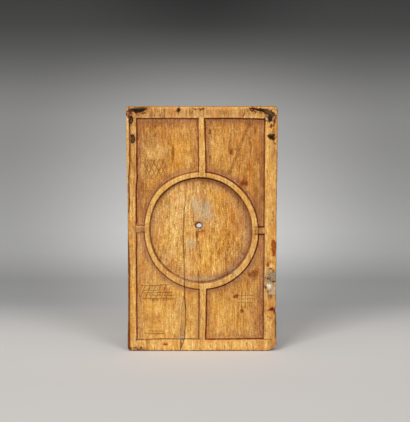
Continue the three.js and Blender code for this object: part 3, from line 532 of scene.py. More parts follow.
def lineGap(x, z, points, reach):
    # distance to a run of straight pieces, with reach as the most that matters
    best = np.full(x.shape, reach * 1.0)
    path = np.array(points, float)
    low = path.min(0) - reach
    high = path.max(0) + reach
    near = np.nonzero((x > low[0]) & (x < high[0]) & (z > low[1]) & (z < high[1]))[0]
    if len(near) == 0:
        return best
    px, pz = x[near], z[near]
    found = np.full(len(near), reach * 1.0)
    for a, b in zip(path[:-1], path[1:]):
        step = b - a
        share = np.clip(((px - a[0]) * step[0] + (pz - a[1]) * step[1]) / (step @ step), 0, 1)
        found = np.minimum(found, np.hypot(px - a[0] - share * step[0], pz - a[1] - share * step[1]))
    best[near] = found
    return best


def edgeGap(x, z):
    left, right = alongLine(leaf["leftEdge"], z), alongLine(leaf["rightEdge"], z)
    return np.minimum.reduce([x - left, right - x, z, leaf["height"] - z])


def wander(x, z):
    # the hand's waver, the same for every piece, fading out at the board's edge
    hold = rise(edgeGap(x, z), 1.5, 9) * leaf["wander"]
    dx = noises(x, z, (0.6, 34, 34, 11), (0.4, 11, 11, 12), (0.35, 3.5, 3.5, 13))
    dz = noises(x, z, (0.6, 34, 34, 21), (0.4, 11, 11, 22), (0.35, 3.5, 3.5, 23))
    return x + dx * hold, z + dz * hold


sockets = {}  # outlines of the inlaid pieces, filled in below: name to (outline, socket depth)
seams = {}  # how dark the seam and the stained wood round it are, for each socket
seamWidths = {"split_sliver": 0.12, "edge_fill": 0.2, "rail_wedge": 0.3}
plainSeam = 0.4


def insideOutline(x, z, outline):
    path = np.array(outline, float)
    within = np.zeros(x.shape, bool)
    for a, b in zip(path, np.roll(path, -1, 0)):
        if a[1] == b[1]:
            continue
        crosses = (a[1] > z) != (b[1] > z)
        within ^= crosses & (x < (b[0] - a[0]) * (z - a[1]) / (b[1] - a[1]) + a[0])
    return within


def outlineGap(x, z, outline, reach=2.0):
    # distance outside a closed outline, negative inside
    gap = lineGap(x, z, list(outline) + [outline[0]], reach)
    return np.where(insideOutline(x, z, outline), -gap, gap)


def faceDepth(x, z, withSockets=True):
    # how deep the carved surface lies under the face at each point
    panel = panelGap(x, z)
    dish = dishGap(x, z)
    ring = ringGap(x, z)
    raised = noises(x, z, *relief["raised"], base=relief["raisedDepth"])
    tool = noises(x, z, *relief["tool"])
    panelFloor = leaf["panelDepth"] + tool + 0.15 * softNoise(x, z, 40, 40, 6)
    panelFloor = panelFloor - relief["footFill"] * (1 - rise(panel, 0.5, 5.5))
    dishFloor = leaf["dishDepth"] + 0.9 * tool + 0.15 * softNoise(x, z, 30, 30, 7)
    dishWall = alongLine(relief["dishWall"], dish)
    ends, middle, half = relief["rubbedRib"]
    worn = rise(-x, *ends) * (1 - rise(abs(z - middle), *half)) * rise(fieldGap(x, z), -0.6, 0.2)
    panelWall = alongLine(relief["panelWall"], panel) * (1 - worn)
    panelWall = panelWall + alongLine(relief["wornWall"], panel) * worn
    depth = raised * (1 - panelWall) * (1 - dishWall)
    depth = depth + panelFloor * panelWall + dishFloor * dishWall
    ribTop = leaf["ribDrop"] * rise(np.minimum(fieldGap(x, z), ring), 0, 0.6)
    depth = np.where(inRib(x, z), np.maximum(depth, ribTop + 0.1), depth)
    fromBore = np.hypot(x - leaf["boreCentre"][0], z - leaf["boreCentre"][1])
    fromMouth = np.hypot(x - leaf["mouthCentre"][0], z - leaf["mouthCentre"][1])
    mouth = np.maximum(fromBore, fromMouth + leaf["boreRadius"] - leaf["mouthRadius"] * 0.72)
    depth = depth + leaf["mouthDepth"] * (1 - rise(mouth, leaf["boreRadius"], leaf["mouthRadius"]))
    for halfWidth, cutDepth, _, points in cuts:
        gap = lineGap(x, z, points, halfWidth)
        depth = depth + cutDepth * np.clip(1 - gap / halfWidth, 0, 1) ** 0.8
    for px, pz, radius, pitDepth, _ in pits:
        depth = depth + pitDepth * (1 - rise(np.hypot(x - px, z - pz), radius * 0.35, radius))
    beyond = alongLine(leaf["arris"], z) - x
    rubbed = np.where(beyond > 0, relief["arrisDrop"] + relief["arrisSlope"] * beyond, 0)
    depth = depth + rubbed + relief["arrisCut"] * (1 - rise(abs(beyond), 0.1, 0.45))
    for name, (outline, socketDepth) in sockets.items() if withSockets else []:
        seamWidth = seamWidths.get(name, plainSeam)
        inside = 1 - rise(outlineGap(x, z, outline), 0.2 * seamWidth, seamWidth)
        depth = depth * (1 - inside) + np.maximum(depth, socketDepth) * inside
    for *oval, loss in leaf["losses"]:
        share = ovalShare(x, z, *oval) + 0.5 * softNoise(x, z, 1.6, 1.6, 9)
        depth = depth + loss * (1 - rise(share, 0.6, 1.05)) * (0.75 + 0.35 * softNoise(x, z, 0.9, 0.9, 10))
    cornerX, cornerZ = relief["cornerAt"]
    corner = np.hypot(np.maximum(0, cornerX - x) / 1.6, np.maximum(0, cornerZ - z))
    wear = relief["cornerWear"] * rise(corner, *relief["cornerReach"])
    return depth + wear * (1 + softNoise(x, z, 1.5, 3, 8))


def stained(x, z, spots, seed, inner=0.6):
    # ragged ovals, full as far as inner and gone a little outside their line
    total = np.zeros(x.shape)
    ragged = (0.3, 1.6, 3.4, seed), (0.16, 0.9, 1.6, seed + 1)
    for *oval, strength in spots:
        share = noises(x, z, *ragged, base=ovalShare(x, z, *oval))
        total = np.maximum(total, strength * (1 - rise(share, inner, 1.3)))
    return np.minimum(total, 1.0)


def nearestWall(x, z):
    # the darkness of the line, painted shade with dirt, and the margin at the wall that each point is
    # nearest to
    left, right = spineSides(z)
    side = np.where(x < 0, x - alongLine(leaf["fieldLeft"], z), alongLine(leaf["fieldRight"], z) - x)
    lower = z < leaf["ringCentre"][1]
    rail = np.where(lower, z - alongLine(leaf["fieldLow"], x), alongLine(leaf["fieldHigh"], x) - z)
    gaps = np.stack([side, rail, ringGap(x, z), np.maximum(left - x, x - right), ribGap(x, z)])
    weight = np.exp(-np.clip(gaps - gaps.min(0), 0, 30) / wallDirtAndShade["blur"])
    weight /= weight.sum(0)
    panel = (x > 0) * 1 + lower * 2
    return [(np.array(wallDirtAndShade[kind])[panel].T * weight).sum(0) for kind in ("line", "margin")]


def woodTone(x, z, sunk, inDish, raised, onRing):
    # how light the wood is, part by part
    left = 1 - rise(x, -3, 3)
    low = 1 - rise(z, 110, 140)
    tone = (tones["upperLeft"] * left + tones["upperRight"] * (1 - left)) * (1 - low)
    tone = tone + (tones["lowerLeft"] * left + tones["lowerRight"] * (1 - left)) * low
    tone = tone * sunk + tones["dish"] * inDish + tones["frame"] * raised
    return tone + (tones["ring"] - tones["frame"]) * onRing


def scratched(x, z):
    # how dark the cuts and pits are, and how much the pale burr of a scratch lifts the tone
    mark = np.zeros(x.shape)
    burr = np.zeros(x.shape)
    for halfWidth, _, darkness, points in cuts:
        wide = max(halfWidth, marks["leastWidth"])
        gap = lineGap(x, z, points, 1.4)
        if halfWidth < marks["scratchWidth"]:
            darkness = min(0.85, 1.3 * darkness)
            burr = burr + marks["burr"] * darkness * rise(gap, 0.3, 0.7) * (1 - rise(gap, 0.7, 1.35))
        mark = np.maximum(mark, darkness * (1 - rise(gap, wide * 0.5, wide * 1.8)))
    for px, pz, radius, _, darkness in pits:
        fromPit = np.hypot(x - px, z - pz)
        mark = np.maximum(mark, darkness * (1 - rise(fromPit, radius * 0.6, radius * 1.4)))
    return mark, burr


def seamDarkness(x, z):
    # the dark seam round each inlaid piece and the stained wood beside it
    mark = np.zeros(x.shape)
    for name, (outline, _) in sockets.items():
        gap = outlineGap(x, z, outline, 3.0)
        seam, halo = seams.get(name, marks["seam"])
        mark = np.maximum(mark, seam * (1 - rise(abs(gap - 0.15), 0.1, 0.5)))
        if halo:
            ragged = gap + 0.9 * softNoise(x, z, 1.4, 1.8, 35)
            mark = np.maximum(mark, halo * (1 - rise(ragged, 0.2, 1.5)))
    return mark


def shadeFields(x, z):
    # what lies on or in the wood at each point, and the painted shade and highlight over it
    panel = panelGap(x, z)
    dish = dishGap(x, z)
    sunk = rise(panel, -0.1, 0.5)
    inDish = rise(dish, -0.1, 0.7)
    raised = (1 - sunk) * (1 - inDish)
    onRing = (1 - rise(ringGap(x, z), -0.4, 0.4)) * (1 - inDish)
    tone = woodTone(x, z, sunk, inDish, raised, onRing)
    rose = np.zeros(x.shape)
    ragged = (0.25, 4, 11, 33), (0.15, 1.8, 6, 34)
    for *oval, shift, pink in patches:
        share = noises(x, z, *ragged, base=ovalShare(x, z, *oval))
        here = 1 - rise(share, 0.35, 1.25)
        tone = tone + shift * here
        rose = np.maximum(rose, pink * here)
    patchy = softNoise(x, z, 9, 14, 31) + 0.5 * softNoise(x, z, 3, 6, 32)
    wallShadeLine, wallMargin = nearestWall(x, z)
    near, far = wallDirtAndShade["reach"]
    margin = sunk * (1 - rise(panel, near + 0.8 * patchy, far + 1.6 * patchy)) * wallMargin
    # painted shade with dirt round the inside of the dish's rim, by direction, darkest under the upper rim
    turn = np.degrees(np.arctan2(z - leaf["dishCentre"][1], x - leaf["dishCentre"][0]))
    around = np.array(wallDirtAndShade["dish"])
    rimLine, shadedSlope, reach, beyondSlope = (np.interp(turn, around[:, 0], row) for row in around[:, 1:].T)
    shade = shadedSlope * rise(dish, -0.4, 0.3) * (1 - rise(dish, 0.45 * reach, 1.35 * reach + 0.6 * patchy))
    dishMargin = inDish * (1 - rise(dish, 3.5, 11 + 2 * patchy)) * beyondSlope
    nearRail = np.maximum(1 - rise(z, 9, 14), rise(z, 236, 241))
    straw = raised * np.clip(0.3 + 0.5 * nearRail - 0.1 * onRing + 0.35 * (1 - rise(abs(x), 4, 7)), 0, 1)
    # paler along the top of each wall: rubbed wear with a painted highlight
    rubbed = rise(panel, -1.9, -0.4) * (1 - rise(panel, -0.3, -0.05))
    rubbed = np.maximum(rubbed, rise(dish, -1.7, -0.4) * (1 - rise(dish, -0.3, -0.05)))

    # the left edge is rubbed down along the arris; the strip beyond it gets a painted highlight above and
    # painted shade below
    beyond = alongLine(leaf["arris"], z) - x
    strip = rise(beyond, 0.3, 0.9)
    lowLeft = 1 - rise(z, 108, 138)
    weak = rise(z, 112, 120) * (1 - rise(z, 138, 146))
    arrisMark = marks["arris"] * (1 - rise(abs(beyond), 0.4, 1.15)) * (1 - 0.7 * weak)
    scratches, burr = scratched(x, z)
    tone = tone + marks["rubbed"] * rubbed + burr + strip * (0.12 * (1 - lowLeft) - 0.3 * lowLeft)

    # painted shade down the right edge, darkest low down
    edgeLine = marks["edgeLine"] * rise(x, 73.7, 74.4) * (1 - rise(z, 38, 48)) * rise(z, 8, 18)
    edgeLine = np.maximum(edgeLine, marks["edgeShade"] * rise(x, 74.2, 75.6))
    fromMouth = np.hypot(x - leaf["mouthCentre"][0], z - leaf["mouthCentre"][1])
    # painted contact shadow along the foot of the face
    foot = 1 - rise(z + 0.3 * softNoise(x, z, 2.5, 2, 37), 0.25, 1.2)
    ticks = rise(softNoise(x, z, 0.8, 5, 38), 0.15, 0.6) * (1 - rise(z, 1.5, 4.5))
    mark = np.maximum.reduce([
        edgeLine * (0.75 + 0.35 * softNoise(x, z, 2, 5, 36)),
        scratches,
        # painted shadow above the bore's mouth, painted shade all round it
        marks["aboveMouth"] * (1 - rise(fromMouth, 3.2, 4.6)) * rise(z - x, 131, 135.5),
        marks["roundMouth"] * (1 - rise(fromMouth, 2.6, 4.4)),
        arrisMark,
        marks["lowStrip"] * strip * lowLeft,
        marks["foot"] * foot,
        ticks * np.where(x < 0, 0.55 * rise(-x, 30, 60), 0.3 * rise(x, 5, 20)),
        seamDarkness(x, z),
    ])
    return {
        "inDish": inDish,
        "wallGap": np.clip(panel, -3, 9),
        "rimGap": np.clip(dish, -3, 12),
        "tone": tone,
        "rose": np.maximum.reduce([rose, margin, dishMargin]),
        "straw": straw + 0.5 * inDish * rise(z, 92, 130),
        "shade": shade,
        "wallShadeLine": wallShadeLine * (1 - inDish) + rimLine * inDish,
        "mark": mark,
        "soot": stained(x, z, sootPatches, 39, 0.4),
        "orange": stained(x, z, orangePatches, 61),
        "dull": stained(x, z, dullPatches, 71),
        "warmStain": stained(x, z, warmStains, 41),
        "greyStain": stained(x, z, greyStains, 51, 0.2),
    }


def stepped(points, spacing, stray=0.0, seed=0, closed=False):
    # a run of points along a path, evenly spaced, each strayed a little
    path = np.array(list(points) + ([points[0]] if closed else []), float)
    length = np.concatenate([[0], np.cumsum(np.hypot(*np.diff(path, axis=0).T))])
    count = max(2, int(round(length[-1] / spacing)) + 1)
    at = np.linspace(0, length[-1], count)
    found = np.stack([np.interp(at, length, path[:, 0]), np.interp(at, length, path[:, 1])], 1)
    if closed:
        found = found[:-1]
    if stray:
        rng = np.random.default_rng(seed)
        found = found + rng.uniform(-stray, stray, found.shape)
    return found


def shifted(path, by, closed=False):
    # a path moved sideways to its right by the given distance
    if closed:
        step = np.roll(path, -1, 0) - np.roll(path, 1, 0)
    else:
        step = np.gradient(path, axis=0)
    step = step / (np.hypot(*step.T)[:, None] + 1e-9)
    return path + np.stack([step[:, 1] * by, -step[:, 0] * by], 1)


cuts = [
    (halfWidth, depth, darkness, stepped(points, leaf["edgeSpacing"], min(0.22, halfWidth * 0.5), index))
    for index, (halfWidth, depth, darkness, points) in enumerate(cuts)
]


def nearestTree(points):
    tree = kdtree.KDTree(len(points))
    for index, (x, z) in enumerate(points):
        tree.insert((x, z, 0), index)
    tree.balance()
    return tree


class Drawing:
    # gathers points and lines of the face, then triangulates them

    def __init__(self):
        self.points = []
        self.edges = []
        self.count = 0

    def line(self, path, closed=False):
        path = np.asarray(path, float)
        if len(path) < 2:
            return
        first = self.count
        self.points.append(path)
        self.count += len(path)
        self.edges += [(first + i, first + i + 1) for i in range(len(path) - 1)]
        if closed:
            self.edges.append((self.count - 1, first))

    def fill(self, x, z, clear):
        # loose points, left out where they come nearer than clear to a line
        tree = nearestTree(np.vstack(self.points))
        kept = [(px, pz) for px, pz in zip(x, z) if tree.find((px, pz, 0))[2] > clear]
        self.points.append(np.array(kept))
        self.count += len(kept)

    def triangles(self):
        points = [Vector(p) for p in np.vstack(self.points)]
        found = delaunay_2d_cdt(points, self.edges, [], 0, 0.02, False)
        flat = np.array([(p[0], p[1]) for p in found[0]])
        return flat, np.array(found[2], int)


def hexGrid(left, right, low, high, spacing, seed):
    columns = np.arange(left, right, spacing)
    rows = np.arange(low, high, spacing * 0.866)
    x, z = np.meshgrid(columns, rows)
    x = x + (np.arange(len(rows)) % 2)[:, None] * spacing / 2
    rng = np.random.default_rng(seed)
    x = x + rng.uniform(-0.18, 0.18, x.shape) * spacing
    z = z + rng.uniform(-0.18, 0.18, z.shape) * spacing
    return x.ravel(), z.ravel()


def keepRuns(path, kept, longer=False):
    # the stretches of a path that are kept, if wished each one step longer at both ends
    if longer:
        grown = kept.copy()
        grown[:-1] |= kept[1:]
        grown[1:] |= kept[:-1]
        kept = grown
    run = []
    for point, keep in zip(path, kept):
        if keep:
            run.append(point)
        elif run:
            yield run
            run = []
    if run:
        yield run


def ellipseLine(centre, half, grow, spacing, swells=()):
    steps = int(2 * math.pi * (half[0] + half[1]) / 2 / spacing)
    turn = np.linspace(0, 2 * math.pi, steps, endpoint=False)
    swell = swelling(turn, swells)
    return columns(
        centre[0] + (half[0] + grow + swell) * np.cos(turn),
        centre[1] + (half[1] + grow + swell) * np.sin(turn),
    )


def wallLines(level):
    # candidate lines at one distance from every wall of the panels
    step = leaf["edgeSpacing"]
    across = np.arange(-69, 66, step)
    heights = np.arange(10, 241, step)
    yield columns(across, alongLine(leaf["fieldLow"], across) + level)
    yield columns(alongLine(leaf["fieldRight"], heights) - level, heights)
    yield columns(across, alongLine(leaf["fieldHigh"], across) - level)
    yield columns(alongLine(leaf["fieldLeft"], heights) + level, heights)
    ring = ellipseLine(leaf["ringCentre"], leaf["ringHalf"], level, step, leaf["ringSwell"])
    yield np.vstack([ring, ring[:1]])
    left, right = spineSides(heights)
    yield columns(left - level, heights)
    yield columns(right + level, heights)
    for (low, high), ends in ((leaf["leftRib"], (-69, -52)), (leaf["rightRib"], (50, 66))):
        for height in (low - level, high + level):
            yield stepped([(ends[0], height), (ends[1], height)], step)


# The outline of the board, counter-clockwise from the lower left
edgeWear = {
    "shoulder": 76.7,  # half the width there
    "cornerRadius": 3.5,
    "chipPoints": ((69.6, 0), (71.2, 2.2), (74.2, 3.9), (76.7, 7.2)),
    "notch": (42.0, 3.6, 0.85),  # height, half height and depth of the nick in the right edge
    "roughness": 0.22,
    "rows": ((1.2, 0.0), (0.7, 0.1), (0.3, 0.34), (0.06, 0.8), (0.0, 1.35)),  # inset and depth
    "sideRows": (0.12, 0.3, 0.5, 0.7, 0.88),  # shares of the way to the back
    "backRows": ((0.0, 13.6), (0.1, 14.3), (0.4, 14.75), (1.2, 15.0)),
}


def boardOutline():
    half = edgeWear["shoulder"]
    high = leaf["height"]
    radius = edgeWear["cornerRadius"]

    def corner(cx, cz, start):
        turn = start + np.linspace(0, math.pi / 2, 7)
        return list(zip(cx + radius * np.cos(turn), cz + radius * np.sin(turn)))

    points = list(edgeWear["chipPoints"])
    points += corner(half - radius, high - radius, 0)
    points += corner(-half + radius, high - radius, math.pi / 2)
    points += corner(-half + radius, radius, math.pi)
    base = stepped(points, leaf["edgeSpacing"], closed=True)
    x, z = base.T
    edges = np.where(x < 0, -alongLine(leaf["leftEdge"], z), alongLine(leaf["rightEdge"], z))
    base[:, 0] *= edges / half
    return base


def outlineRow(base, inset):
    x, z = base.T
    along = np.arange(len(base)) * leaf["edgeSpacing"]

    def ragged(size, seed):
        return softNoise(along, along * 0, size, 5, seed)

    wear = edgeWear["roughness"] * (0.5 + 0.5 * ragged(5, 61)) ** 2
    wear = wear + (1 - rise(z, 0, 5)) * 0.5 * np.clip(ragged(1.7, 62) - 0.35, 0, 1)
    leftFoot = rise(-x, 56, 68) * (1 - rise(z, 2, 9))
    wear = wear + leftFoot * 0.8 * (0.5 + 0.5 * ragged(1.3, 63))
    height, half, depth = edgeWear["notch"]
    wear = wear + (x > 70) * depth * (1 - rise(abs(z - height), half * 0.4, half))
    return shifted(base, -(wear + inset), closed=True)


def added(name, data):
    made = bpy.data.objects.new(name, data)
    bpy.context.scene.collection.objects.link(made)
    return made


def carry(mesh, label, values):
    # a value at each point, for the materials
    layer = mesh.attributes.new(label, "FLOAT", "POINT")
    layer.data.foreach_set("value", np.asarray(values, np.float32))


def meshPiece(name, points, faces, look, fields=None, smooth=True):
    # points are x, depth, z in millimetres, with depth from the carved face
    placed = np.array(points, float)
    placed[:, 0], placed[:, 2] = wander(placed[:, 0], placed[:, 2])
    placed[:, 1] -= leaf["thickness"] / 2
    mesh = bpy.data.meshes.new(name)
    mesh.from_pydata((placed * mm).tolist(), [], [tuple(map(int, f)) for f in faces])
    mesh.validate(clean_customdata=False)
    mesh.polygons.foreach_set("use_smooth", [smooth] * len(mesh.polygons))
    mesh.materials.append(bpy.data.materials[look])
    for label, values in (fields or {}).items():
        carry(mesh, label, values)
    mesh.update()
    return added(name, mesh)


def settle(piece, slot, *nodes):
    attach(piece, "root")
    if nodes:
        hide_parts(*nodes)


def closeSkin(flat, faces, top, bottom):
    # a closed body from a flat triangulation, its upper depth and its lower depth
    used, inverse = np.unique(faces, return_inverse=True)
    faces = inverse.reshape(faces.shape)
    x, z = flat[used].T
    edges = np.vstack([faces[:, [0, 1]], faces[:, [1, 2]], faces[:, [2, 0]]])
    have = set(map(tuple, edges.tolist()))
    rim = [(a, b) for a, b in have if (b, a) not in have]
    count = len(used)
    walls = [(a, a + count, b + count, b) for a, b in sorted(rim)]
    allFaces = faces.tolist() + (faces[:, ::-1] + count).tolist() + walls
    return np.vstack([columns(x, top[used], z), columns(x, bottom[used], z)]), allFaces, used


print("stage: drawing of the face ready")


# Inlaid pieces: the outlines of what fills the old holes, losses and breaks
inlays = {
    "broken": {"pitch_crust_top_right": (60, 67)},
    "plugs": {
        "fixing_plug_left_upper": [
            (-72.3, 240.4), (-71.3, 241.2), (-70.2, 239.8), (-69.7, 237.2), (-70.2, 234.8), (-71.6, 233.6),
            (-73.3, 234.4), (-73.4, 236.0), (-72.2, 236.8), (-72.6, 238.6),
        ],
        "fixing_plug_left_lower": [
            (-71.4, 221.4), (-69.8, 222.2), (-68.3, 220.4), (-67.9, 217.2), (-68.7, 214.6), (-70.4, 213.5),
            (-71.3, 215.0), (-70.6, 217.2), (-70.9, 219.6),
        ],
        "fixing_plug_right_upper": [
            (66.9, 236.3), (68.6, 235.2), (70.8, 236.6), (70.4, 238.2), (71.3, 239.6), (69.4, 241.2),
            (67.6, 240.4), (66.3, 239.2), (67.6, 238.0),
        ],
        "fixing_plug_right_lower": [
            (66.5, 220.7), (68.4, 222.2), (70.4, 221.4), (72.3, 222.7), (73.0, 221.2), (72.0, 219.6),
            (73.2, 217.6), (72.4, 216.4), (70.6, 217.6), (68.6, 217.8), (67.6, 219.4),
        ],
        "fixing_plug_top": [
            (-24.9, 248.0), (-23.2, 248.6), (-21.7, 247.9), (-22.3, 246.2), (-23.7, 245.4), (-24.6, 246.4),
        ],
    },
    "plugSocket": 2.4,
    "crusts": {
        "pitch_crust_top_left": [
            (-72.2, 247.8, 0.4), (-69.6, 247.3, 1.2), (-66.4, 246.8, 1.9), (-62.6, 246.7, 2.0),
            (-59.4, 247.4, 1.4), (-57.2, 248.1, 0.7), (-55.4, 248.5, 0.3),
        ],
        "pitch_crust_top_right": [
            (48.2, 248.7, 0.3), (51.5, 248.3, 0.6), (55.5, 247.7, 0.7), (59.5, 247.2, 1.1),
            (63.0, 246.2, 1.5), (66.2, 244.8, 2.0), (69.4, 243.6, 1.9), (71.4, 242.4, 1.2),
            (72.6, 241.2, 0.5),
        ],
    },
    "crustSocket": 0.9,
    "lossMiddle": 70.6,
    "lossHalf": 13.2,
    "lossReach": 11.6,
    "lossEdge": 75.1,
    "lossSocket": 3.2,
    "parting": 72.0,
    "wedge": [(-21.7, 3.6), (-20.9, 3.9), (-18.6, 11.5), (-21.6, 11.5)],
    "wedgeSocket": 2.6,
    "sliverSocket": 4.6,
}


def roughOval(cx, cz, halfX, halfZ, turn, seed, rough=0.09, count=30):
    angle = np.linspace(0, 2 * math.pi, count, endpoint=False)
    rng = np.random.default_rng(seed)
    swell = 1 + rough * sum(
        rng.uniform(-1, 1) * np.cos(k * angle + rng.uniform(0, 6.3)) for k in (2, 3, 5, 7)
    )
    u = halfX * swell * np.cos(angle)
    v = halfZ * swell * np.sin(angle)
    cosine, sine = math.cos(turn), math.sin(turn)
    return columns(cx + u * cosine - v * sine, cz + u * sine + v * cosine)


def bandOutline(path, rough, seed):
    middle = stepped([(x, z) for x, z, _ in path], 0.7)
    width = np.interp(middle[:, 0], [p[0] for p in path], [p[2] for p in path])
    rng = np.random.default_rng(seed)
    right = shifted(middle, width * (1 + rough * rng.uniform(-1, 1, len(width))))
    left = shifted(middle, -width * (1 + rough * rng.uniform(-1, 1, len(width))))
    return np.vstack([right, left[::-1]])


def lossOutline(low, high):
    turn = np.linspace(math.pi / 2, 3 * math.pi / 2, 40)
    reach = inlays["lossReach"] * np.abs(np.cos(turn)) ** 0.55
    z = inlays["lossMiddle"] + inlays["lossHalf"] * np.sin(turn)
    reach = reach * (1 + 0.05 * softNoise(z, z * 0, 5, 5, 91))
    heights = np.concatenate([[min(high, z[0])], z[(z > low) & (z < high)], [max(low, z[-1])]])
    edge = inlays["lossEdge"]
    side = columns(edge + 0.5 - np.interp(-heights, -z, reach), heights)
    side = side[np.append(True, np.diff(-side[:, 1]) > 0.02)]
    return np.vstack([side, [(edge, side[-1, 1])], [(edge, side[0, 1])]])


outlines = {
    name: stepped(corners, 0.42, 0.16, index + 5, closed=True)
    for index, (name, corners) in enumerate(inlays["plugs"].items())
}
for index, (name, path) in enumerate(inlays["crusts"].items()):
    outlines[name] = bandOutline(path, 0.36, 80 + index)
outlines["edge_fill_upper"] = lossOutline(inlays["parting"] + 0.04, 200)
outlines["edge_fill_lower"] = lossOutline(0, inlays["parting"] - 0.04)
outlines["rail_wedge"] = stepped(inlays["wedge"], 0.8, 0.08, 7, closed=True)
sliverHeights = np.linspace(15.8, 56.0, 50)
splitPath = cuts[0][3]
splitX = np.interp(sliverHeights, splitPath[:, 1], splitPath[:, 0]) - 0.5
sliverX = np.interp(sliverHeights, [p[1] for p in sliverLine], [p[0] for p in sliverLine]) + 0.15
outlines["split_sliver"] = np.vstack([
    columns(splitX, sliverHeights), columns(np.minimum(sliverX, splitX - 0.35), sliverHeights)[::-1],
])
wholeLoss = lossOutline(0, 200)
wholeLoss[-2:, 0] = inlays["lossEdge"] + 4  # open at the board's edge

for kind in ("plug", "crust"):
    for name in inlays[kind + "s"]:
        sockets[name] = (outlines[name], inlays[kind + "Socket"])
        seams[name] = (0.9, 0.75)
sockets["edge_fill"] = (wholeLoss, inlays["lossSocket"])
sockets["rail_wedge"] = (outlines["rail_wedge"], inlays["wedgeSocket"])
sockets["split_sliver"] = (outlines["split_sliver"], inlays["sliverSocket"])
seams["edge_fill"] = (0.0, 0.0)
seams["split_sliver"] = (0.1, 0.0)
seams["rail_wedge"] = (0.5, 0.0)

# The lines along which the face is divided, in millimetres
guides = {
    "wallLevels": (-1.0, -0.4, 0.0, leaf["wallDraft"], 1.3),  # distance into the panel
    "rimLevels": (-1.0, -0.4, 0.0, 0.6, 1.6, 2.8),
    "boreRings": (3.2, 3.9, 4.8),
    "besideCut": 1.3,  # in half widths of the cut
    "besideArris": 0.35,
    "clearOfEdge": 1.9,
    "reach": 77,
}


def clearOfEdge(path):
    return edgeGap(*path.T) > guides["clearOfEdge"]


def drawFace(boundary, boreLine):
    drawing = Drawing()
    drawing.line(boundary, closed=True)
    drawing.line(boreLine, closed=True)
    for level in guides["wallLevels"]:
        for path in wallLines(level):
            x, z = path.T
            kept = abs(panelGap(x, z) - level) < 0.09
            if level in (0.0, leaf["wallDraft"]):
                kept |= inRib(x, z) & (np.minimum(fieldGap(x, z), ringGap(x, z)) < 1)
            for run in keepRuns(path, kept, longer=True):
                drawing.line(run)
    dish = leaf["dishCentre"], leaf["dishHalf"]
    for level in guides["rimLevels"]:
        rim = ellipseLine(*dish, -level, leaf["edgeSpacing"], leaf["dishSwell"])
        drawing.line(rim, closed=True)
    for radius in guides["boreRings"]:
        drawing.line(ellipseLine(leaf["boreCentre"], (radius, radius), 0, 0.7), closed=True)
    beside = guides["besideCut"]
    for halfWidth, _, _, path in cuts:
        for by in (0, halfWidth * beside, -halfWidth * beside):
            side = shifted(path, by)
            drawing.line(side[clearOfEdge(side)])
    for name, (outline, _) in sockets.items():
        closed = stepped(outline, 0.6, closed=True)
        x, z = closed.T
        outward = math.copysign(1, np.sum(x * np.roll(z, -1) - z * np.roll(x, -1)))
        for by in (0.04, seamWidths.get(name, plainSeam)):
            path = shifted(closed, outward * by, closed=True)
            for run in keepRuns(path, clearOfEdge(path)):
                drawing.line(run)
    arris = stepped([(alongLine(leaf["arris"], z), z) for z in np.linspace(6, 243, 60)], 0.9)
    drawing.line(shifted(arris, guides["besideArris"]))
    drawing.line(shifted(arris, -guides["besideArris"]))
    reach = guides["reach"]
    x, z = hexGrid(-reach, reach, 0, leaf["height"], leaf["pointSpacing"], 3)
    fromBore = np.hypot(x - boreLine[:, 0].mean(), z - boreLine[:, 1].mean())
    within = insideOutline(x, z, boundary) & (fromBore > 3)
    drawing.fill(x[within], z[within], leaf["pointSpacing"] * 0.52)
    return drawing.triangles()


def cutTo(flat, faces, boundary, hole=None):
    x, z = flat[faces].mean(1).T
    within = insideOutline(x, z, boundary)
    if hole is not None:
        within &= ~insideOutline(x, z, hole)
    return faces[within]


def matched(flat, path):
    tree = nearestTree(flat)
    return [tree.find((x, z, 0))[1] for x, z in path]


def bridge(rowA, rowB, flipped=False):
    count = len(rowA)
    found = []
    for i in range(count):
        j = (i + 1) % count
        quad = (rowA[i], rowB[i], rowB[j], rowA[j])
        found.append(quad[::-1] if flipped else quad)
    return found


# What the materials see on the edge and the back; everything else is 0 there
backLook = {"wallGap": -3, "rimGap": -3, "tone": 0.54, "rose": 0.12, "straw": 0.15, "dull": 0.3}


class Skin:
    # gathers the points and faces of the leaf, row by row

    def __init__(self):
        self.points = []
        self.faces = []
        self.count = 0

    def add(self, flat, depth):
        # points of the drawing at their depths; gives their numbers
        self.points.append(columns(flat[:, 0], depth, flat[:, 1]))
        self.count += len(flat)
        return np.arange(self.count - len(flat), self.count)

    def carryOn(self, last, flat, depth, flipped=False):
        # a further row joined to the last one
        row = self.add(flat, depth)
        self.faces += bridge(last, row, flipped)
        return row


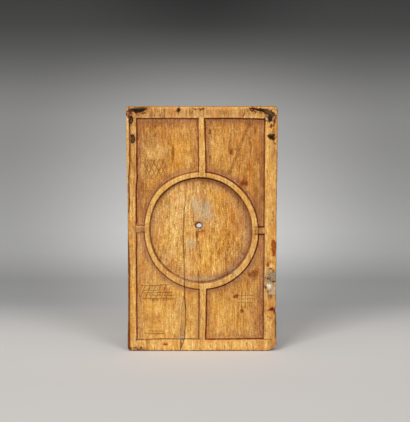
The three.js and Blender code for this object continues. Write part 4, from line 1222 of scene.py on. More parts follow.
def buildLeaf():
    base = boardOutline()
    boundary = outlineRow(base, edgeWear["rows"][0][0])
    radius = leaf["boreRadius"]
    boreLine = roughOval(*leaf["boreCentre"], radius, radius * 0.97, 0, 17, 0.02, 36)
    flat, faces = drawFace(boundary, boreLine)
    faces = cutTo(flat, faces, boundary, boreLine)
    depth = faceDepth(*flat.T)
    skin = Skin()
    skin.add(flat, depth)
    skin.faces += faces.tolist()

    # the edge, row by row from the face to the back
    rows = []
    for inset, drop in edgeWear["rows"][1:]:
        row = outlineRow(base, inset)
        rows.append((row, faceDepth(*row.T) + drop))
    side, sideDepth = rows[-1]
    backStart = edgeWear["backRows"][0][1]
    for share in edgeWear["sideRows"]:
        waver = 0.12 * softNoise(side[:, 0] + side[:, 1], side[:, 1] * 0 + share * 30, 14, 3, 71)
        rows.append((outlineRow(base, 0.12 + waver), sideDepth + (backStart - sideDepth) * share))
    for inset, level in edgeWear["backRows"]:
        rows.append((outlineRow(base, inset), np.full(len(base), level)))
    last = matched(flat, boundary)
    for row, rowDepth in rows[:-1]:
        last = skin.carryOn(last, row, rowDepth)

    # the plain back
    backEdge = rows[-1][0]
    radius = leaf["boreBackRadius"]
    backBore = ellipseLine(leaf["boreCentre"], (radius, radius), 0, 2 * math.pi * radius / len(boreLine))
    drawing = Drawing()
    drawing.line(backEdge, closed=True)
    drawing.line(backBore, closed=True)
    x, z = hexGrid(-77, 77, 0, leaf["height"], 2.6, 4)
    within = insideOutline(x, z, backEdge)
    drawing.fill(x[within], z[within], 1.3)
    backFlat, backFaces = drawing.triangles()
    backFaces = cutTo(backFlat, backFaces, backEdge, backBore)
    x, z = backFlat.T
    hollow = noises(x, z, (0.1, 18, 60, 72), (0.04, 4, 30, 73), base=0.14)
    back = skin.add(backFlat, leaf["thickness"] - hollow * rise(edgeGap(x, z), 1.2, 4))
    skin.faces += back[backFaces[:, ::-1]].tolist()
    skin.faces += bridge(last, back[matched(backFlat, backEdge)])

    # the bore's wall
    last = matched(flat, boreLine)
    top = depth[last]
    for share in (0.15, 0.45, 0.8):
        ring = boreLine + (backBore - boreLine) * share ** 4
        ringDepth = top + (leaf["thickness"] - 0.3 - top) * share
        last = skin.carryOn(last, ring, ringDepth, flipped=True)
    skin.faces += bridge(last, back[matched(backFlat, backBore)], flipped=True)

    points = np.vstack(skin.points)
    used = np.zeros(len(points), bool)
    for face in skin.faces:
        used[list(face)] = True
    renumber = np.cumsum(used) - 1
    allFaces = [[int(renumber[i]) for i in face] for face in skin.faces]
    points = points[used]
    fields = shadeFields(points[:, 0], points[:, 2])
    onFace = points[:, 1] < 9
    for label in fields:
        fields[label] = np.where(onFace, fields[label], backLook.get(label, 0))
    return points, allFaces, fields, flat, faces


print("stage: outlines ready")


def paint(*screen):
    # a screen colour from 0 to 255, made linear
    shares = [value / 255 for value in screen]
    linear = [c / 12.92 if c <= 0.04045 else ((c + 0.055) / 1.055) ** 2.4 for c in shares]
    return (*linear, 1.0)


class Nodes:
    # short names for the steps of one node tree

    def __init__(self, tree, position=None, shader=None):
        self.tree = tree
        self.position = position
        self.shader = shader

    def put(self, value, socket):
        # a link where the value is another node's output, else a plain setting
        if isinstance(value, bpy.types.NodeSocket):
            self.tree.links.new(value, socket)
        else:
            socket.default_value = value

    def add(self, kind, inputs=None, **settings):
        made = self.tree.nodes.new(kind)
        for label, value in settings.items():
            setattr(made, label, value)
        for label, value in (inputs or {}).items():
            self.put(value, made.inputs[label])
        return made

    def maths(self, operation, a, b=0.0, clamp=False):
        made = self.add("ShaderNodeMath", {0: a, 1: b}, operation=operation, use_clamp=clamp)
        return made.outputs[0]

    def plus(self, a, b, clamp=False):
        return self.maths("ADD", a, b, clamp)

    def minus(self, a, b):
        return self.maths("SUBTRACT", a, b)

    def times(self, a, b, clamp=False):
        return self.maths("MULTIPLY", a, b, clamp)

    def over(self, a, b):
        return self.maths("DIVIDE", a, b)

    def larger(self, a, b):
        return self.maths("MAXIMUM", a, b)

    def vector(self, operation, inputs):
        return self.add("ShaderNodeVectorMath", inputs, operation=operation).outputs[0]

    def blend(self, share, a, b, mode="MIX"):
        inputs = {0: share, 6: a, 7: b}
        made = self.add("ShaderNodeMix", inputs, data_type="RGBA", blend_type=mode, clamp_factor=True)
        return made.outputs[2]

    def darken(self, share, ground, look):
        return self.blend(share, ground, look, "MULTIPLY")

    def remap(self, value, low, high, toLow=0.0, toHigh=1.0):
        inputs = {0: value, 1: low, 2: high, 3: toLow, 4: toHigh}
        return self.add("ShaderNodeMapRange", inputs, interpolation_type="SMOOTHSTEP").outputs[0]

    def around(self, value, strength):
        # a noise value turned into a shift either side of nothing
        return self.times(self.minus(value, 0.5), strength)

    def between(self, value, low, high, soft):
        # 1 where a value lies between low and high, with soft ends
        above = self.remap(value, low - soft, low + soft)
        return self.times(above, self.remap(value, high - soft, high + soft, 1.0, 0.0))

    def field(self, label):
        # a value that the mesh carries at each point
        made = self.add("ShaderNodeAttribute", attribute_name=label, attribute_type="GEOMETRY")
        return made.outputs["Fac"]

    def noise(self, width, length, detail=3.0, roughness=0.6, distortion=0.0):
        # noise in lumps of the given width and length, both in millimetres
        size = self.add("ShaderNodeCombineXYZ", {0: width, 1: width, 2: length}).outputs[0]
        place = self.vector("DIVIDE", {0: self.position, 1: self.vector("SCALE", {0: size, 3: mm})})
        inputs = {
            "Vector": place, "Scale": 1.0, "Detail": detail, "Roughness": roughness,
            "Distortion": distortion,
        }
        return self.add("ShaderNodeTexNoise", inputs, noise_dimensions="3D").outputs[0]

    def group(self, tree, **inputs):
        made = self.tree.nodes.new("ShaderNodeGroup")
        made.node_tree = tree
        for label, value in {"Position": self.position, **inputs}.items():
            spaced = "".join(" " + c if c.isupper() else c for c in label).strip()
            self.put(value, made.inputs[spaced])
        return made.outputs

    def ramp(self, tone, stops):
        made = self.add("ShaderNodeValToRGB", {0: tone})
        elements = made.color_ramp.elements
        elements[0].position, elements[0].color = stops[0]
        elements[1].position, elements[1].color = stops[-1]
        for place, colour in stops[1:-1]:
            elements.new(place).color = colour
        return made.outputs[0]

    def dress(self, colour, roughness, height, bump=0.7, distance=0.3, specular=0.1):
        # the shader of a rough surface, with distance as the bump's height in millimetres
        inputs = {"Height": height, "Strength": bump, "Distance": distance * mm}
        self.put(colour, self.shader.inputs["Base Color"])
        self.put(roughness, self.shader.inputs["Roughness"])
        self.put(self.add("ShaderNodeBump", inputs).outputs[0], self.shader.inputs["Normal"])
        self.put(specular, self.shader.inputs["Specular IOR Level"])


def newSocket(tree, label, kind, value=None, way="INPUT"):
    socket = tree.interface.new_socket(label, in_out=way, socket_type=kind)
    if value is not None:
        socket.default_value = value


def newGroup(name, inputs, outputs):
    tree = bpy.data.node_groups.new(name, "ShaderNodeTree")
    newSocket(tree, "Position", "NodeSocketVector")
    for label, value in inputs.items():
        newSocket(tree, label, "NodeSocketFloat", value)
    for label in outputs:
        newSocket(tree, label, "NodeSocketFloat", way="OUTPUT")
    given = tree.nodes.new("NodeGroupInput").outputs
    return Nodes(tree, given["Position"]), given, tree.nodes.new("NodeGroupOutput").inputs


def makeGrain():
    # streaks and open pores that run up the board
    sizes = {"Streak Width": 1.6, "Streak Length": 45.0, "Pore Width": 0.55, "Pore Length": 7.0}
    nodes, given, result = newGroup(
        "plankGrain", {**sizes, "Pore Share": 0.5}, ("Streaks", "Pores", "Relief"),
    )
    streaks = nodes.noise(given["Streak Width"], given["Streak Length"], 4.0, 0.62, 0.25)
    edge = nodes.minus(0.82, nodes.times(given["Pore Share"], 0.3))
    pores = nodes.noise(given["Pore Width"], given["Pore Length"], 2.0, 0.5)
    pores = nodes.remap(pores, edge, nodes.plus(edge, 0.07))
    nodes.put(nodes.remap(streaks, 0.3, 0.72), result["Streaks"])
    nodes.put(pores, result["Pores"])
    nodes.put(nodes.minus(nodes.times(streaks, 0.7), nodes.times(pores, 0.8)), result["Relief"])
    return nodes.tree


def makeGrime():
    # dirt that has settled where the amount says, broken up into patches
    nodes, given, result = newGroup(
        "settledGrime", {"Amount": 0.5, "Patch Size": 3.0, "Breakup": 0.5}, ("Mask",),
    )
    amount = given["Amount"]
    patch = nodes.noise(given["Patch Size"], nodes.times(given["Patch Size"], 1.8), 4.0)
    shift = nodes.around(patch, nodes.times(given["Breakup"], 2.2))
    shift = nodes.times(shift, nodes.times(amount, nodes.minus(1.6, amount)))
    nodes.put(nodes.plus(amount, shift, clamp=True), result["Mask"])
    return nodes.tree


def makeCrumble():
    # grains and lumps of a dry, broken surface
    nodes, given, result = newGroup(
        "dryCrumble", {"Lump Size": 1.2, "Grain Size": 0.3}, ("Mask", "Relief"),
    )
    coarse = nodes.noise(given["Lump Size"], given["Lump Size"], 4.0, 0.65, 0.3)
    grains = nodes.noise(given["Grain Size"], given["Grain Size"], 2.0)
    nodes.put(nodes.remap(coarse, 0.35, 0.65), result["Mask"])
    nodes.put(nodes.plus(nodes.times(coarse, 0.7), nodes.times(grains, 0.3)), result["Relief"])
    return nodes.tree


plankGrain = makeGrain()
settledGrime = makeGrime()
dryCrumble = makeCrumble()


def newMaterial(name):
    material = bpy.data.materials.new(name)
    material.use_nodes = True
    tree = material.node_tree
    position = tree.nodes.new("ShaderNodeTexCoord").outputs["Object"]
    return material, Nodes(tree, position, tree.nodes["Principled BSDF"])


woodLook = {
    # wood colours from dark to pale, over the tone
    "tones": (
        (0.0, paint(106, 54, 14)), (0.2, paint(148, 90, 35)), (0.4, paint(180, 123, 56)),
        (0.55, paint(200, 145, 72)), (0.7, paint(218, 167, 88)), (0.85, paint(234, 189, 110)),
        (1.0, paint(250, 214, 144)),
    ),
    "strawTones": (
        (0.0, paint(106, 58, 20)), (0.2, paint(150, 98, 46)), (0.4, paint(182, 131, 70)),
        (0.55, paint(202, 153, 86)), (0.7, paint(220, 174, 103)), (0.85, paint(236, 195, 124)),
        (1.0, paint(250, 220, 160)),
    ),
    "amber": paint(208, 120, 34),
    "pink": paint(208, 134, 90),
    "olive": paint(208, 166, 82),
    "rose": paint(181, 125, 82),
    "roseDark": paint(139, 88, 55),
    "ash": paint(168, 158, 126),
    "ashWarm": paint(196, 172, 138),
    "ashPale": paint(210, 206, 184),
    # how much red, green and blue of the wood stay under a line or a stain; the crease and the rim are
    # painted shade with dirt
    "crease": (0.36, 0.14, 0.05, 1),
    # painted shade with dirt inside the dish's rim
    "rim": (0.4, 0.27, 0.17, 1),
    "mark": (0.22, 0.085, 0.05, 1),
    "warm": (0.46, 0.21, 0.13, 1),
    "pore": (0.58, 0.42, 0.3, 1),
    "orange": (1.04, 0.91, 0.5, 1),
    "dull": (0.92, 1.05, 1.6, 1),
    # noise over the wood: width and length in millimetres, detail, roughness, distortion
    "patterns": {
        "fleck": (1.3, 3.2, 3.0, 0.65, 0.4),
        "speck": (1.25, 1.15, 2.0, 0.6),
        "cross": (3.4, 1.0, 3.0, 0.6, 0.3),
        "blotch": (5.0, 13.0, 4.0, 0.6, 0.6),
        "broad": (15.0, 60.0, 3.0, 0.6, 0.4),
        "amber": (7.0, 24.0, 4.0, 0.62, 0.5),
        "orange": (4.0, 12.0, 3.0, 0.6, 0.4),
        "dull": (4.5, 10.0, 3.0, 0.6, 0.4),
        "pink": (4.5, 8.0, 3.0, 0.6, 0.5),
        "olive": (3.4, 7.0, 3.0, 0.6, 0.5),
        "ash": (0.9, 5.0, 3.0, 0.6, 0.3),
        "ragged": (2.2, 3.4),
        "faint": (6.0, 9.0, 2.0, 0.5),
        "soot": (2.4, 2.4, 2.0, 0.55),
    },
    # how far the patterns move the tone, the fine ones more in the dish
    "fine": {"streaks": 0.2, "fibre": 0.3, "fleck": 0.5, "speck": 0.6, "cross": 0.42},
    "large": {"blotch": 0.66, "broad": 0.4},
    "dishTexture": 0.4,
    "amberShow": (0.48, 0.7, 0.0, 0.44),
    "tintShow": {"orange": 0.9, "dull": 0.85},
    "spotShow": {"pink": (0.52, 0.7, 0.0, 0.4), "olive": (0.56, 0.72, 0.0, 0.4)},
    "roseShow": 0.82,
    # how strongly the painted shade on the dish's slope shows
    "slopeShow": 0.8,
    "poreShow": (0.8, 1.0),  # outside and inside the dish
    # where the dark line, painted shade with dirt, lies beside a panel's wall and the dish's rim: from,
    # to, softness
    "wallShadeLine": (-0.3, 1.35, 0.45),
    "rimLine": (0.25, 1.9, 0.6),
    "sootStrength": 1.7,
    "roughness": 0.6,
}


def warmMask(nodes):
    amount = nodes.field("warmStain")
    return nodes.group(settledGrime, Amount=amount, PatchSize=1.2, Breakup=0.45)["Mask"]


def woodSurface(nodes):
    # the colour, with its painted shade along the walls and round the dish's rim, the grain's height and
    # the share of old wax and dirt over the whole leaf
    look = woodLook
    field, remap, times = nodes.field, nodes.remap, nodes.times
    grain = nodes.group(
        plankGrain, StreakWidth=1.7, StreakLength=46.0, PoreWidth=0.9, PoreLength=7.5,
    )
    fibre = nodes.group(
        plankGrain, StreakWidth=0.85, StreakLength=8.0, PoreWidth=0.8, PoreLength=3.4,
    )
    seen = {label: nodes.noise(*values) for label, values in look["patterns"].items()}
    seen["streaks"], seen["fibre"] = grain["Streaks"], fibre["Streaks"]
    tone = field("tone")
    livelier = nodes.plus(1.0, times(field("inDish"), look["dishTexture"]))
    for label, strength in look["fine"].items():
        tone = nodes.plus(tone, times(nodes.around(seen[label], strength), livelier))
    for label, strength in look["large"].items():
        tone = nodes.plus(tone, nodes.around(seen[label], strength))
    ground = nodes.ramp(tone, look["tones"])
    ground = nodes.blend(field("straw"), ground, nodes.ramp(tone, look["strawTones"]))
    ground = nodes.blend(remap(seen["amber"], *look["amberShow"]), ground, look["amber"])
    for label, strength in look["tintShow"].items():
        patchy = remap(seen[label], 0.36, 0.6, 0.45, 1.0)
        ground = nodes.darken(times(times(field(label), patchy), strength), ground, look[label])
    pores = times(
        nodes.larger(grain["Pores"], fibre["Pores"]),
        remap(field("inDish"), 0.0, 1.0, *look["poreShow"]),
    )
    ground = nodes.darken(pores, ground, look["pore"])
    for label, show in look["spotShow"].items():
        ground = nodes.blend(remap(seen[label], *show), ground, look[label])

    rose = nodes.group(settledGrime, Amount=field("rose"), PatchSize=4.0, Breakup=0.45)["Mask"]
    roseTint = nodes.blend(remap(tone, 0.7, 0.25), look["rose"], look["roseDark"])
    ground = nodes.blend(times(rose, look["roseShow"]), ground, roseTint)
    ash = nodes.blend(remap(seen["speck"], 0.35, 0.6), look["ash"], look["ashWarm"])
    ash = nodes.blend(remap(seen["fleck"], 0.58, 0.7), ash, look["ashPale"])
    streaky = nodes.plus(0.3, times(remap(seen["ash"], 0.4, 0.62), 0.7))
    ground = nodes.blend(times(field("greyStain"), streaky), ground, ash)
    ground = nodes.darken(warmMask(nodes), ground, look["warm"])

    ragged = nodes.around(seen["ragged"], 1.0)
    # painted shade with dirt on the slope inside the dish's rim
    shadedSlope = times(field("shade"), remap(seen["blotch"], 0.3, 0.7, 1.0, 0.66))
    ground = nodes.darken(times(shadedSlope, look["slopeShow"]), ground, look["rim"])
    # painted shade with dirt: the dark line along each panel's wall and round the dish's rim
    crease = nodes.larger(
        nodes.between(nodes.plus(field("wallGap"), ragged), *look["wallShadeLine"]),
        nodes.between(nodes.plus(field("rimGap"), ragged), *look["rimLine"]),
    )
    fainter = remap(seen["faint"], 0.3, 0.6, 0.75, 1.0)
    crease = times(times(crease, field("wallShadeLine")), fainter)
    ground = nodes.darken(crease, ground, look["crease"])
    soot = times(field("soot"), look["sootStrength"])
    soot = times(remap(seen["soot"], 0.5, 0.56), soot, clamp=True)
    ground = nodes.darken(nodes.larger(field("mark"), soot), ground, look["mark"])
    height = nodes.plus(grain["Relief"], times(fibre["Relief"], 0.7))
    return ground, nodes.plus(height, times(seen["fleck"], 0.5)), rose


def makeWood(name, bump=0.8, darker=0.0, coat=0.0, smoother=0.0):
    nodes = newMaterial(name)[1]
    ground, height, rose = woodSurface(nodes)
    if darker:
        ground = nodes.blend(darker, ground, woodLook["roseDark"])
    roughness = nodes.plus(woodLook["roughness"] - smoother, nodes.times(rose, 0.1))
    nodes.dress(ground, roughness, height, bump)
    nodes.put(1.45, nodes.shader.inputs["IOR"])
    nodes.put(coat, nodes.shader.inputs["Coat Weight"])


def makeCrumbly(name, ground, other, speck, rim, lump, grain, roughness, speckFrom=0.72, breakup=1.0):
    nodes = newMaterial(name)[1]
    coarse = nodes.group(dryCrumble, LumpSize=lump, GrainSize=grain)
    fine = nodes.group(dryCrumble, LumpSize=lump * 0.35, GrainSize=grain * 0.6)
    colour = nodes.blend(coarse["Mask"], paint(*ground), paint(*other))
    specks = nodes.remap(fine["Mask"], speckFrom, speckFrom + 0.28)
    colour = nodes.blend(nodes.times(specks, 0.7), colour, paint(*speck))
    fringe = nodes.field("fringe")
    fringe = nodes.group(settledGrime, Amount=fringe, PatchSize=breakup, Breakup=0.6)["Mask"]
    colour = nodes.blend(fringe, colour, paint(*rim))
    roughness = nodes.remap(fine["Mask"], 0.0, 1.0, roughness - 0.1, roughness + 0.1)
    height = nodes.plus(coarse["Relief"], nodes.times(fine["Relief"], 0.5))
    nodes.dress(colour, roughness, height, distance=0.35, specular=0.14)


def makeSmear(name, ground, other, pale):
    # filler rubbed into the wood, so its edges fade
    nodes = newMaterial(name)[1]
    wood, height, _ = woodSurface(nodes)
    coarse = nodes.group(dryCrumble, LumpSize=2.6, GrainSize=0.6)
    fine = nodes.group(dryCrumble, LumpSize=0.9, GrainSize=0.4)
    filler = nodes.blend(coarse["Mask"], paint(*ground), paint(*other))
    flecks = nodes.times(nodes.remap(fine["Mask"], 0.66, 0.94), 0.7)
    filler = nodes.blend(flecks, filler, paint(*pale))
    filler = nodes.darken(warmMask(nodes), filler, woodLook["warm"])
    filler = nodes.darken(nodes.field("mark"), filler, woodLook["mark"])
    inner = nodes.minus(1.0, nodes.field("fringe"))
    smear = nodes.group(settledGrime, Amount=inner, PatchSize=2.4, Breakup=0.5)["Mask"]
    height = nodes.plus(height, nodes.times(fine["Relief"], 0.8))
    nodes.dress(nodes.blend(smear, wood, filler), 0.8, height)


# Dry, broken matter: ground colour, second colour, specks, the thin broken rim, size of the lumps
# and of the grains, roughness, then where the specks start and how large the rim's patches are
crumblyLooks = {
    "hardPitch": ((5, 4, 3), (18, 12, 6), (96, 74, 42), (92, 56, 22), 3.0, 0.5, 0.66, 0.78),
    # plugs that have shrunk and lie open in the middle
    "hollowPitch": ((150, 108, 56), (84, 52, 22), (180, 140, 84), (10, 6, 2), 2.4, 0.5, 0.66, 0.6, 2.2),
    "pitchDust": ((48, 42, 26), (112, 102, 70), (150, 138, 104), (112, 74, 36), 0.9, 0.3, 0.7),
    "paleFiller": ((238, 228, 200), (204, 190, 154), (250, 244, 226), (190, 168, 128), 1.4, 0.35, 0.84),
    "lilacFiller": ((190, 170, 154), (162, 140, 122), (208, 192, 176), (170, 134, 100), 1.4, 0.35, 0.84),
}
makeWood("agedWood")
makeWood("brokenWood", darker=0.12)
makeWood("oldWax", bump=0.35, coat=0.05, smoother=0.05)
for name, look in crumblyLooks.items():
    makeCrumbly(name, *look)
makeSmear("chalkyFiller", (196, 162, 120), (156, 128, 94), (226, 204, 166))
makeSmear("greyFiller", (156, 132, 102), (122, 98, 72), (184, 164, 132))
print("stage: materials ready")


def makeInlay(name, slot, look, topOf, bottom, spacing=0.55, fringeWidth=0.8, fadeFrom=None, fields=False):
    # a piece cut to its outline, with its own upper surface and a flat underside
    outline = outlines[name]
    drawing = Drawing()
    rim = stepped(outline, spacing, closed=True)
    drawing.line(rim, closed=True)
    (left, low), (right, high) = outline.min(0), outline.max(0)
    x, z = hexGrid(left, right, low, high, spacing, 6)
    within = insideOutline(x, z, rim)
    if within.any():
        drawing.fill(x[within], z[within], spacing * 0.5)
    flat, faces = drawing.triangles()
    faces = cutTo(flat, faces, rim)
    x, z = flat.T
    gap = outlineGap(x, z, rim, 5.0)
    top = topOf(x, z, -gap)
    points, allFaces, used = closeSkin(flat, faces, top, np.maximum(bottom, top + 0.3))
    if fadeFrom is not None:
        gap = outlineGap(x, z, fadeFrom, 5.0)
    fringe = 1 - rise(-gap[used], 0.0, fringeWidth)
    if name in inlays["broken"]:  # sound up to here, then broken and open
        fringe = 1 - 0.42 * rise(flat[used, 0], *inlays["broken"][name])
    values = {"fringe": np.concatenate([fringe, fringe])}
    if fields:
        values.update(shadeFields(points[:, 0], points[:, 2]))
    piece = meshPiece(name, points, allFaces, look, values)
    facing = np.empty(3 * len(piece.data.polygons), np.float32)
    piece.data.polygons.foreach_get("normal", facing)
    # crisp where the sides start
    piece.data.polygons.foreach_set("use_smooth", abs(facing[1::3]) > 0.35)
    settle(piece, slot, name)


def rounded(inward, reach, drop):
    return drop * (1 - rise(inward, 0, reach))


def plugTop(x, z, inward):
    bumps = noises(x, z, (0.5, 1.1, 1.1, 101), (0.3, 0.5, 0.5, 102), base=0.5)
    return 0.2 + 0.4 * bumps + rounded(inward, 0.7, 0.3)


def crustTop(x, z, inward):
    bumps = noises(x, z, (0.5, 1.3, 1.3, 103), (0.35, 0.6, 0.6, 104), base=0.5)
    return 0.06 + 0.3 * bumps + rounded(inward, 0.9, 0.45)


def fillTop(x, z, inward):
    bumps = noises(x, z, (1.0, 3.2, 3.2, 105), (0.6, 1.2, 1.2, 106))
    sunken = rise(inward, 0.2, 2) * (0.34 + 0.1 * bumps)
    return faceDepth(x, z, withSockets=False) + 0.06 + sunken + 0.4 * rise(x, 71.5, 75)


def woodTop(x, z, inward):
    return faceDepth(x, z, withSockets=False) + 0.04 + rounded(inward, 0.3, 0.12)


def makeFills():
    under = 0.3  # how far a piece goes below its socket's floor
    for name in inlays["plugs"]:
        look, fringeWidth = ("hollowPitch", 2.0) if "left" in name else ("hardPitch", 0.8)
        bottom = inlays["plugSocket"] + under
        makeInlay(name, "pitch", look, plugTop, bottom, 0.36, fringeWidth)
    for name in inlays["crusts"]:
        look = "hollowPitch" if name in inlays["broken"] else "hardPitch"
        makeInlay(name, "pitch", look, crustTop, inlays["crustSocket"] + under, 0.36)
    for name, slot, look in (
        ("edge_fill_upper", "filler_grey", "greyFiller"), ("edge_fill_lower", "filler", "chalkyFiller"),
    ):
        bottom = inlays["lossSocket"] + under
        makeInlay(name, slot, look, fillTop, bottom, fringeWidth=2.2, fadeFrom=wholeLoss, fields=True)
    for name in ("rail_wedge", "split_sliver"):
        makeInlay(name, "wood_dark", "brokenWood", woodTop, sockets[name][1] + under, fields=True)
    print("stage: plugs, crusts, fillers and splinters ready")


lumps = {
    "edge_fill_lump": (68.3, 67.1, 2.7, 2.8, 0.5, 0.44),  # x, z, half sizes, depth of foot, height
    "rail_fill_dab": (-22.0, 13.4, 3.1, 1.35, 2.2, 1.7),
}


def makeLump(name, slot, look):
    cx, cz, halfX, halfZ, foot, height = lumps[name]
    outlines[name] = roughOval(cx, cz, halfX, halfZ, 0.1, len(name), 0.12, 34)

    def lumpTop(x, z, inward):
        swell = np.sqrt(rise(inward, -0.05, min(halfX, halfZ)))
        return foot - height * swell * (1 + 0.14 * softNoise(x, z, 0.9, 0.9, 107))

    makeInlay(name, slot, look, lumpTop, foot + 0.5, 0.34)


waxTraces = {
    # on which side of the middle each one lies
    "panels": {
        "wax_trace_upper_left": (-1, 1), "wax_trace_upper_right": (1, 1),
        "wax_trace_lower_left": (-1, -1), "wax_trace_lower_right": (1, -1),
    },
    # from and to, as distance from the wall
    "panelBand": (0.5, 6.6),
    "dishBand": (1.6, 8.5),
    "socketGap": 0.6,
    # height at the wall, reach into the floor, seed
    "panelLook": (0.7, 3.9, 111),
    "dishLook": (0.7, 5.2, 121),
}


def waxTop(x, z, gap, height, reach, seed):
    # thick at the wall, thinning out into the floor along a ragged line
    ragged = noises(x, z, (1.4, 9, 12, seed), (0.7, 3, 4, seed + 1))
    share = 1 - rise(gap, 0.3, np.maximum(1.6, reach + ragged))
    patchy = 0.72 + 0.28 * softNoise(x, z, 14, 18, seed + 2)
    return faceDepth(x, z) - height * share ** 1.3 * patchy + 0.07


def makeWaxTraces(flat, faces):
    x, z = flat[faces].mean(1).T
    px, pz = flat.T
    panel, dish = panelGap(x, z), dishGap(x, z)
    floor = faceDepth(px, pz)

    def makeTrace(name, chosen, gap, look):
        top = waxTop(px, pz, gap, *look)
        points, allFaces, _ = closeSkin(flat, biggestPart(faces[chosen]), top, floor + 0.3)
        fields = shadeFields(points[:, 0], points[:, 2])
        settle(meshPiece(name, points, allFaces, "oldWax", fields), "wax", name)

    near, far = waxTraces["panelBand"]
    chosen = (panel > near) & (panel < far)
    for outline, _ in sockets.values():
        chosen &= outlineGap(x, z, outline) >= waxTraces["socketGap"]
    for name, (sideX, sideZ) in waxTraces["panels"].items():
        here = (np.sign(x) == sideX) & (np.sign(z - leaf["ringCentre"][1]) == sideZ)
        makeTrace(name, chosen & here, panelGap(px, pz), waxTraces["panelLook"])
    near, far = waxTraces["dishBand"]
    chosen = (dish > near) & (dish < far)
    makeTrace("wax_trace_dish", chosen, dishGap(px, pz) - 1.4, waxTraces["dishLook"])
    print("stage: wax traces ready")


def biggestPart(faces):
    # the largest connected set of triangles, joined through shared edges
    parent = {}

    def root(item):
        while parent.setdefault(item, item) != item:
            parent[item] = parent[parent[item]]
            item = parent[item]
        return item

    for a, b, c in faces.tolist():
        parent[root(a)] = root(b)
        parent[root(b)] = root(c)
    roots = np.array([root(a) for a in faces[:, 0].tolist()])
    names, counts = np.unique(roots, return_counts=True)
    return faces[roots == names[counts.argmax()]]


crumbs = {
    # name: slot, material, outline of the patch, depth of the crumbs, size, share of the area, seed
    "pitch_crumbs_corner": ("pitch", "pitchDust", (68.6, 239.6, 4.0, 6.4, 0.1), 0.46, 0.8, 0.34, 3),
    "pitch_grains_corner": ("pitch", "hardPitch", (68.8, 240.0, 4.4, 7.0, 0.1), 0.42, 0.72, 0.4, 13),
    "pitch_crumbs_left": ("pitch", "hardPitch", (-65.5, 246.6, 7.6, 2.6, 0.02), 0.32, 0.6, 0.35, 5),
    "pitch_crumbs_top": ("pitch", "pitchDust", (-3.0, 248.0, 6.2, 0.9, 0.0), 0.42, 0.44, 0.4, 7),
    "pitch_crumbs_right": ("pitch", "hardPitch", (60.5, 246.6, 8.0, 1.6, -0.16), 0.32, 0.56, 0.35, 15),
    "filler_grains": ("filler", "chalkyFiller", (68.4, 69.0, 3.4, 9.5, 0.0), 0.4, 0.5, 0.2, 9),
    "filler_grit": ("filler_grey", "greyFiller", (69.0, 74.0, 3.4, 6.5, 0.0), 0.4, 0.5, 0.25, 17),
    "foot_grit": ("wood_dark", "brokenWood", (-63, 2.6, 11.0, 1.3, -0.03), 0.42, 0.3, 0.2, 11),
}


def scatterTree():
    # broken lumps strewn over a patch
    tree = bpy.data.node_groups.new("strewnCrumbs", "GeometryNodeTree")
    for label, kind, value in (
        ("Patch", "NodeSocketGeometry", None), ("Crumb Size", "NodeSocketFloat", 0.4 * mm),
        ("Cover", "NodeSocketFloat", 0.3), ("Seed", "NodeSocketInt", 1),
        ("Material", "NodeSocketMaterial", None),
    ):
        newSocket(tree, label, kind, value)
    newSocket(tree, "Crumbs", "NodeSocketGeometry", way="OUTPUT")
    nodes = Nodes(tree)
    given = tree.nodes.new("NodeGroupInput").outputs
    size, seed = given["Crumb Size"], given["Seed"]
    density = nodes.over(given["Cover"], nodes.times(size, size))
    inputs = {"Mesh": given["Patch"], "Density": density, "Seed": seed}
    points = nodes.add(
        "GeometryNodeDistributePointsOnFaces", inputs, distribute_method="RANDOM",
    ).outputs["Points"]

    def random(low, high):
        inputs = {0: low, 1: high, "Seed": seed}
        return nodes.add("FunctionNodeRandomValue", inputs, data_type="FLOAT_VECTOR").outputs[0]

    lump = nodes.add("GeometryNodeMeshIcoSphere", {"Radius": 0.62, "Subdivisions": 1})
    turn = random((0, 0, 0), (6.28, 6.28, 6.28))
    scale = nodes.vector("SCALE", {0: random((0.35, 0.35, 0.35), (1.1, 0.7, 0.8)), 3: size})
    inputs = {"Points": points, "Instance": lump.outputs["Mesh"], "Rotation": turn, "Scale": scale}
    placed = nodes.add("GeometryNodeInstanceOnPoints", inputs)
    solid = nodes.add("GeometryNodeRealizeInstances", {0: placed.outputs[0]})
    inputs = {"Geometry": solid.outputs[0], "Material": given["Material"]}
    dressed = nodes.add("GeometryNodeSetMaterial", inputs)
    nodes.put(dressed.outputs[0], tree.nodes.new("NodeGroupOutput").inputs["Crumbs"])
    return tree


def grown(piece, tree, **values):
    # run a tree on a piece once and keep the plain mesh that it makes
    modifier = piece.modifiers.new(tree.name, "NODES")
    modifier.node_group = tree
    for item in tree.interface.items_tree:
        label = item.name.replace(" ", "")
        if item.item_type == "SOCKET" and item.in_out == "INPUT" and label in values:
            modifier[item.identifier] = values[label]
    bpy.context.view_layer.update()
    view = bpy.context.evaluated_depsgraph_get()
    mesh = bpy.data.meshes.new_from_object(piece.evaluated_get(view))
    piece.modifiers.remove(modifier)
    piece.data = mesh


def makeCrumbs():
    tree = scatterTree()
    for name, (slot, look, oval, depth, size, cover, seed) in crumbs.items():
        outline = roughOval(*oval, seed=seed, rough=0.16, count=28)
        outline[:, 1] = np.clip(outline[:, 1], 0.9, 249.0)
        points = [(x, depth, z) for x, z in outline]
        patch = meshPiece(name, points, [list(range(len(points)))], look, smooth=False)
        material = bpy.data.materials[look]
        grown(patch, tree, CrumbSize=size * mm, Cover=cover, Seed=seed, Material=material)
        carry(patch.data, "fringe", np.zeros(len(patch.data.vertices)))
        settle(patch, slot)
    print("stage: crumbs ready")


leafPoints, leafFaces, leafFields, flatPoints, flatFaces = buildLeaf()
leafPiece = meshPiece("carved_leaf_wood", leafPoints, leafFaces, "agedWood", leafFields)
settle(leafPiece, "wood", "carved_leaf")
print("stage: leaf ready,", len(leafPiece.data.polygons), "faces")
makeFills()
makeLump("edge_fill_lump", "plaster", "paleFiller")
makeLump("rail_fill_dab", "filler", "lilacFiller")
makeWaxTraces(flatPoints, flatFaces)
makeCrumbs()


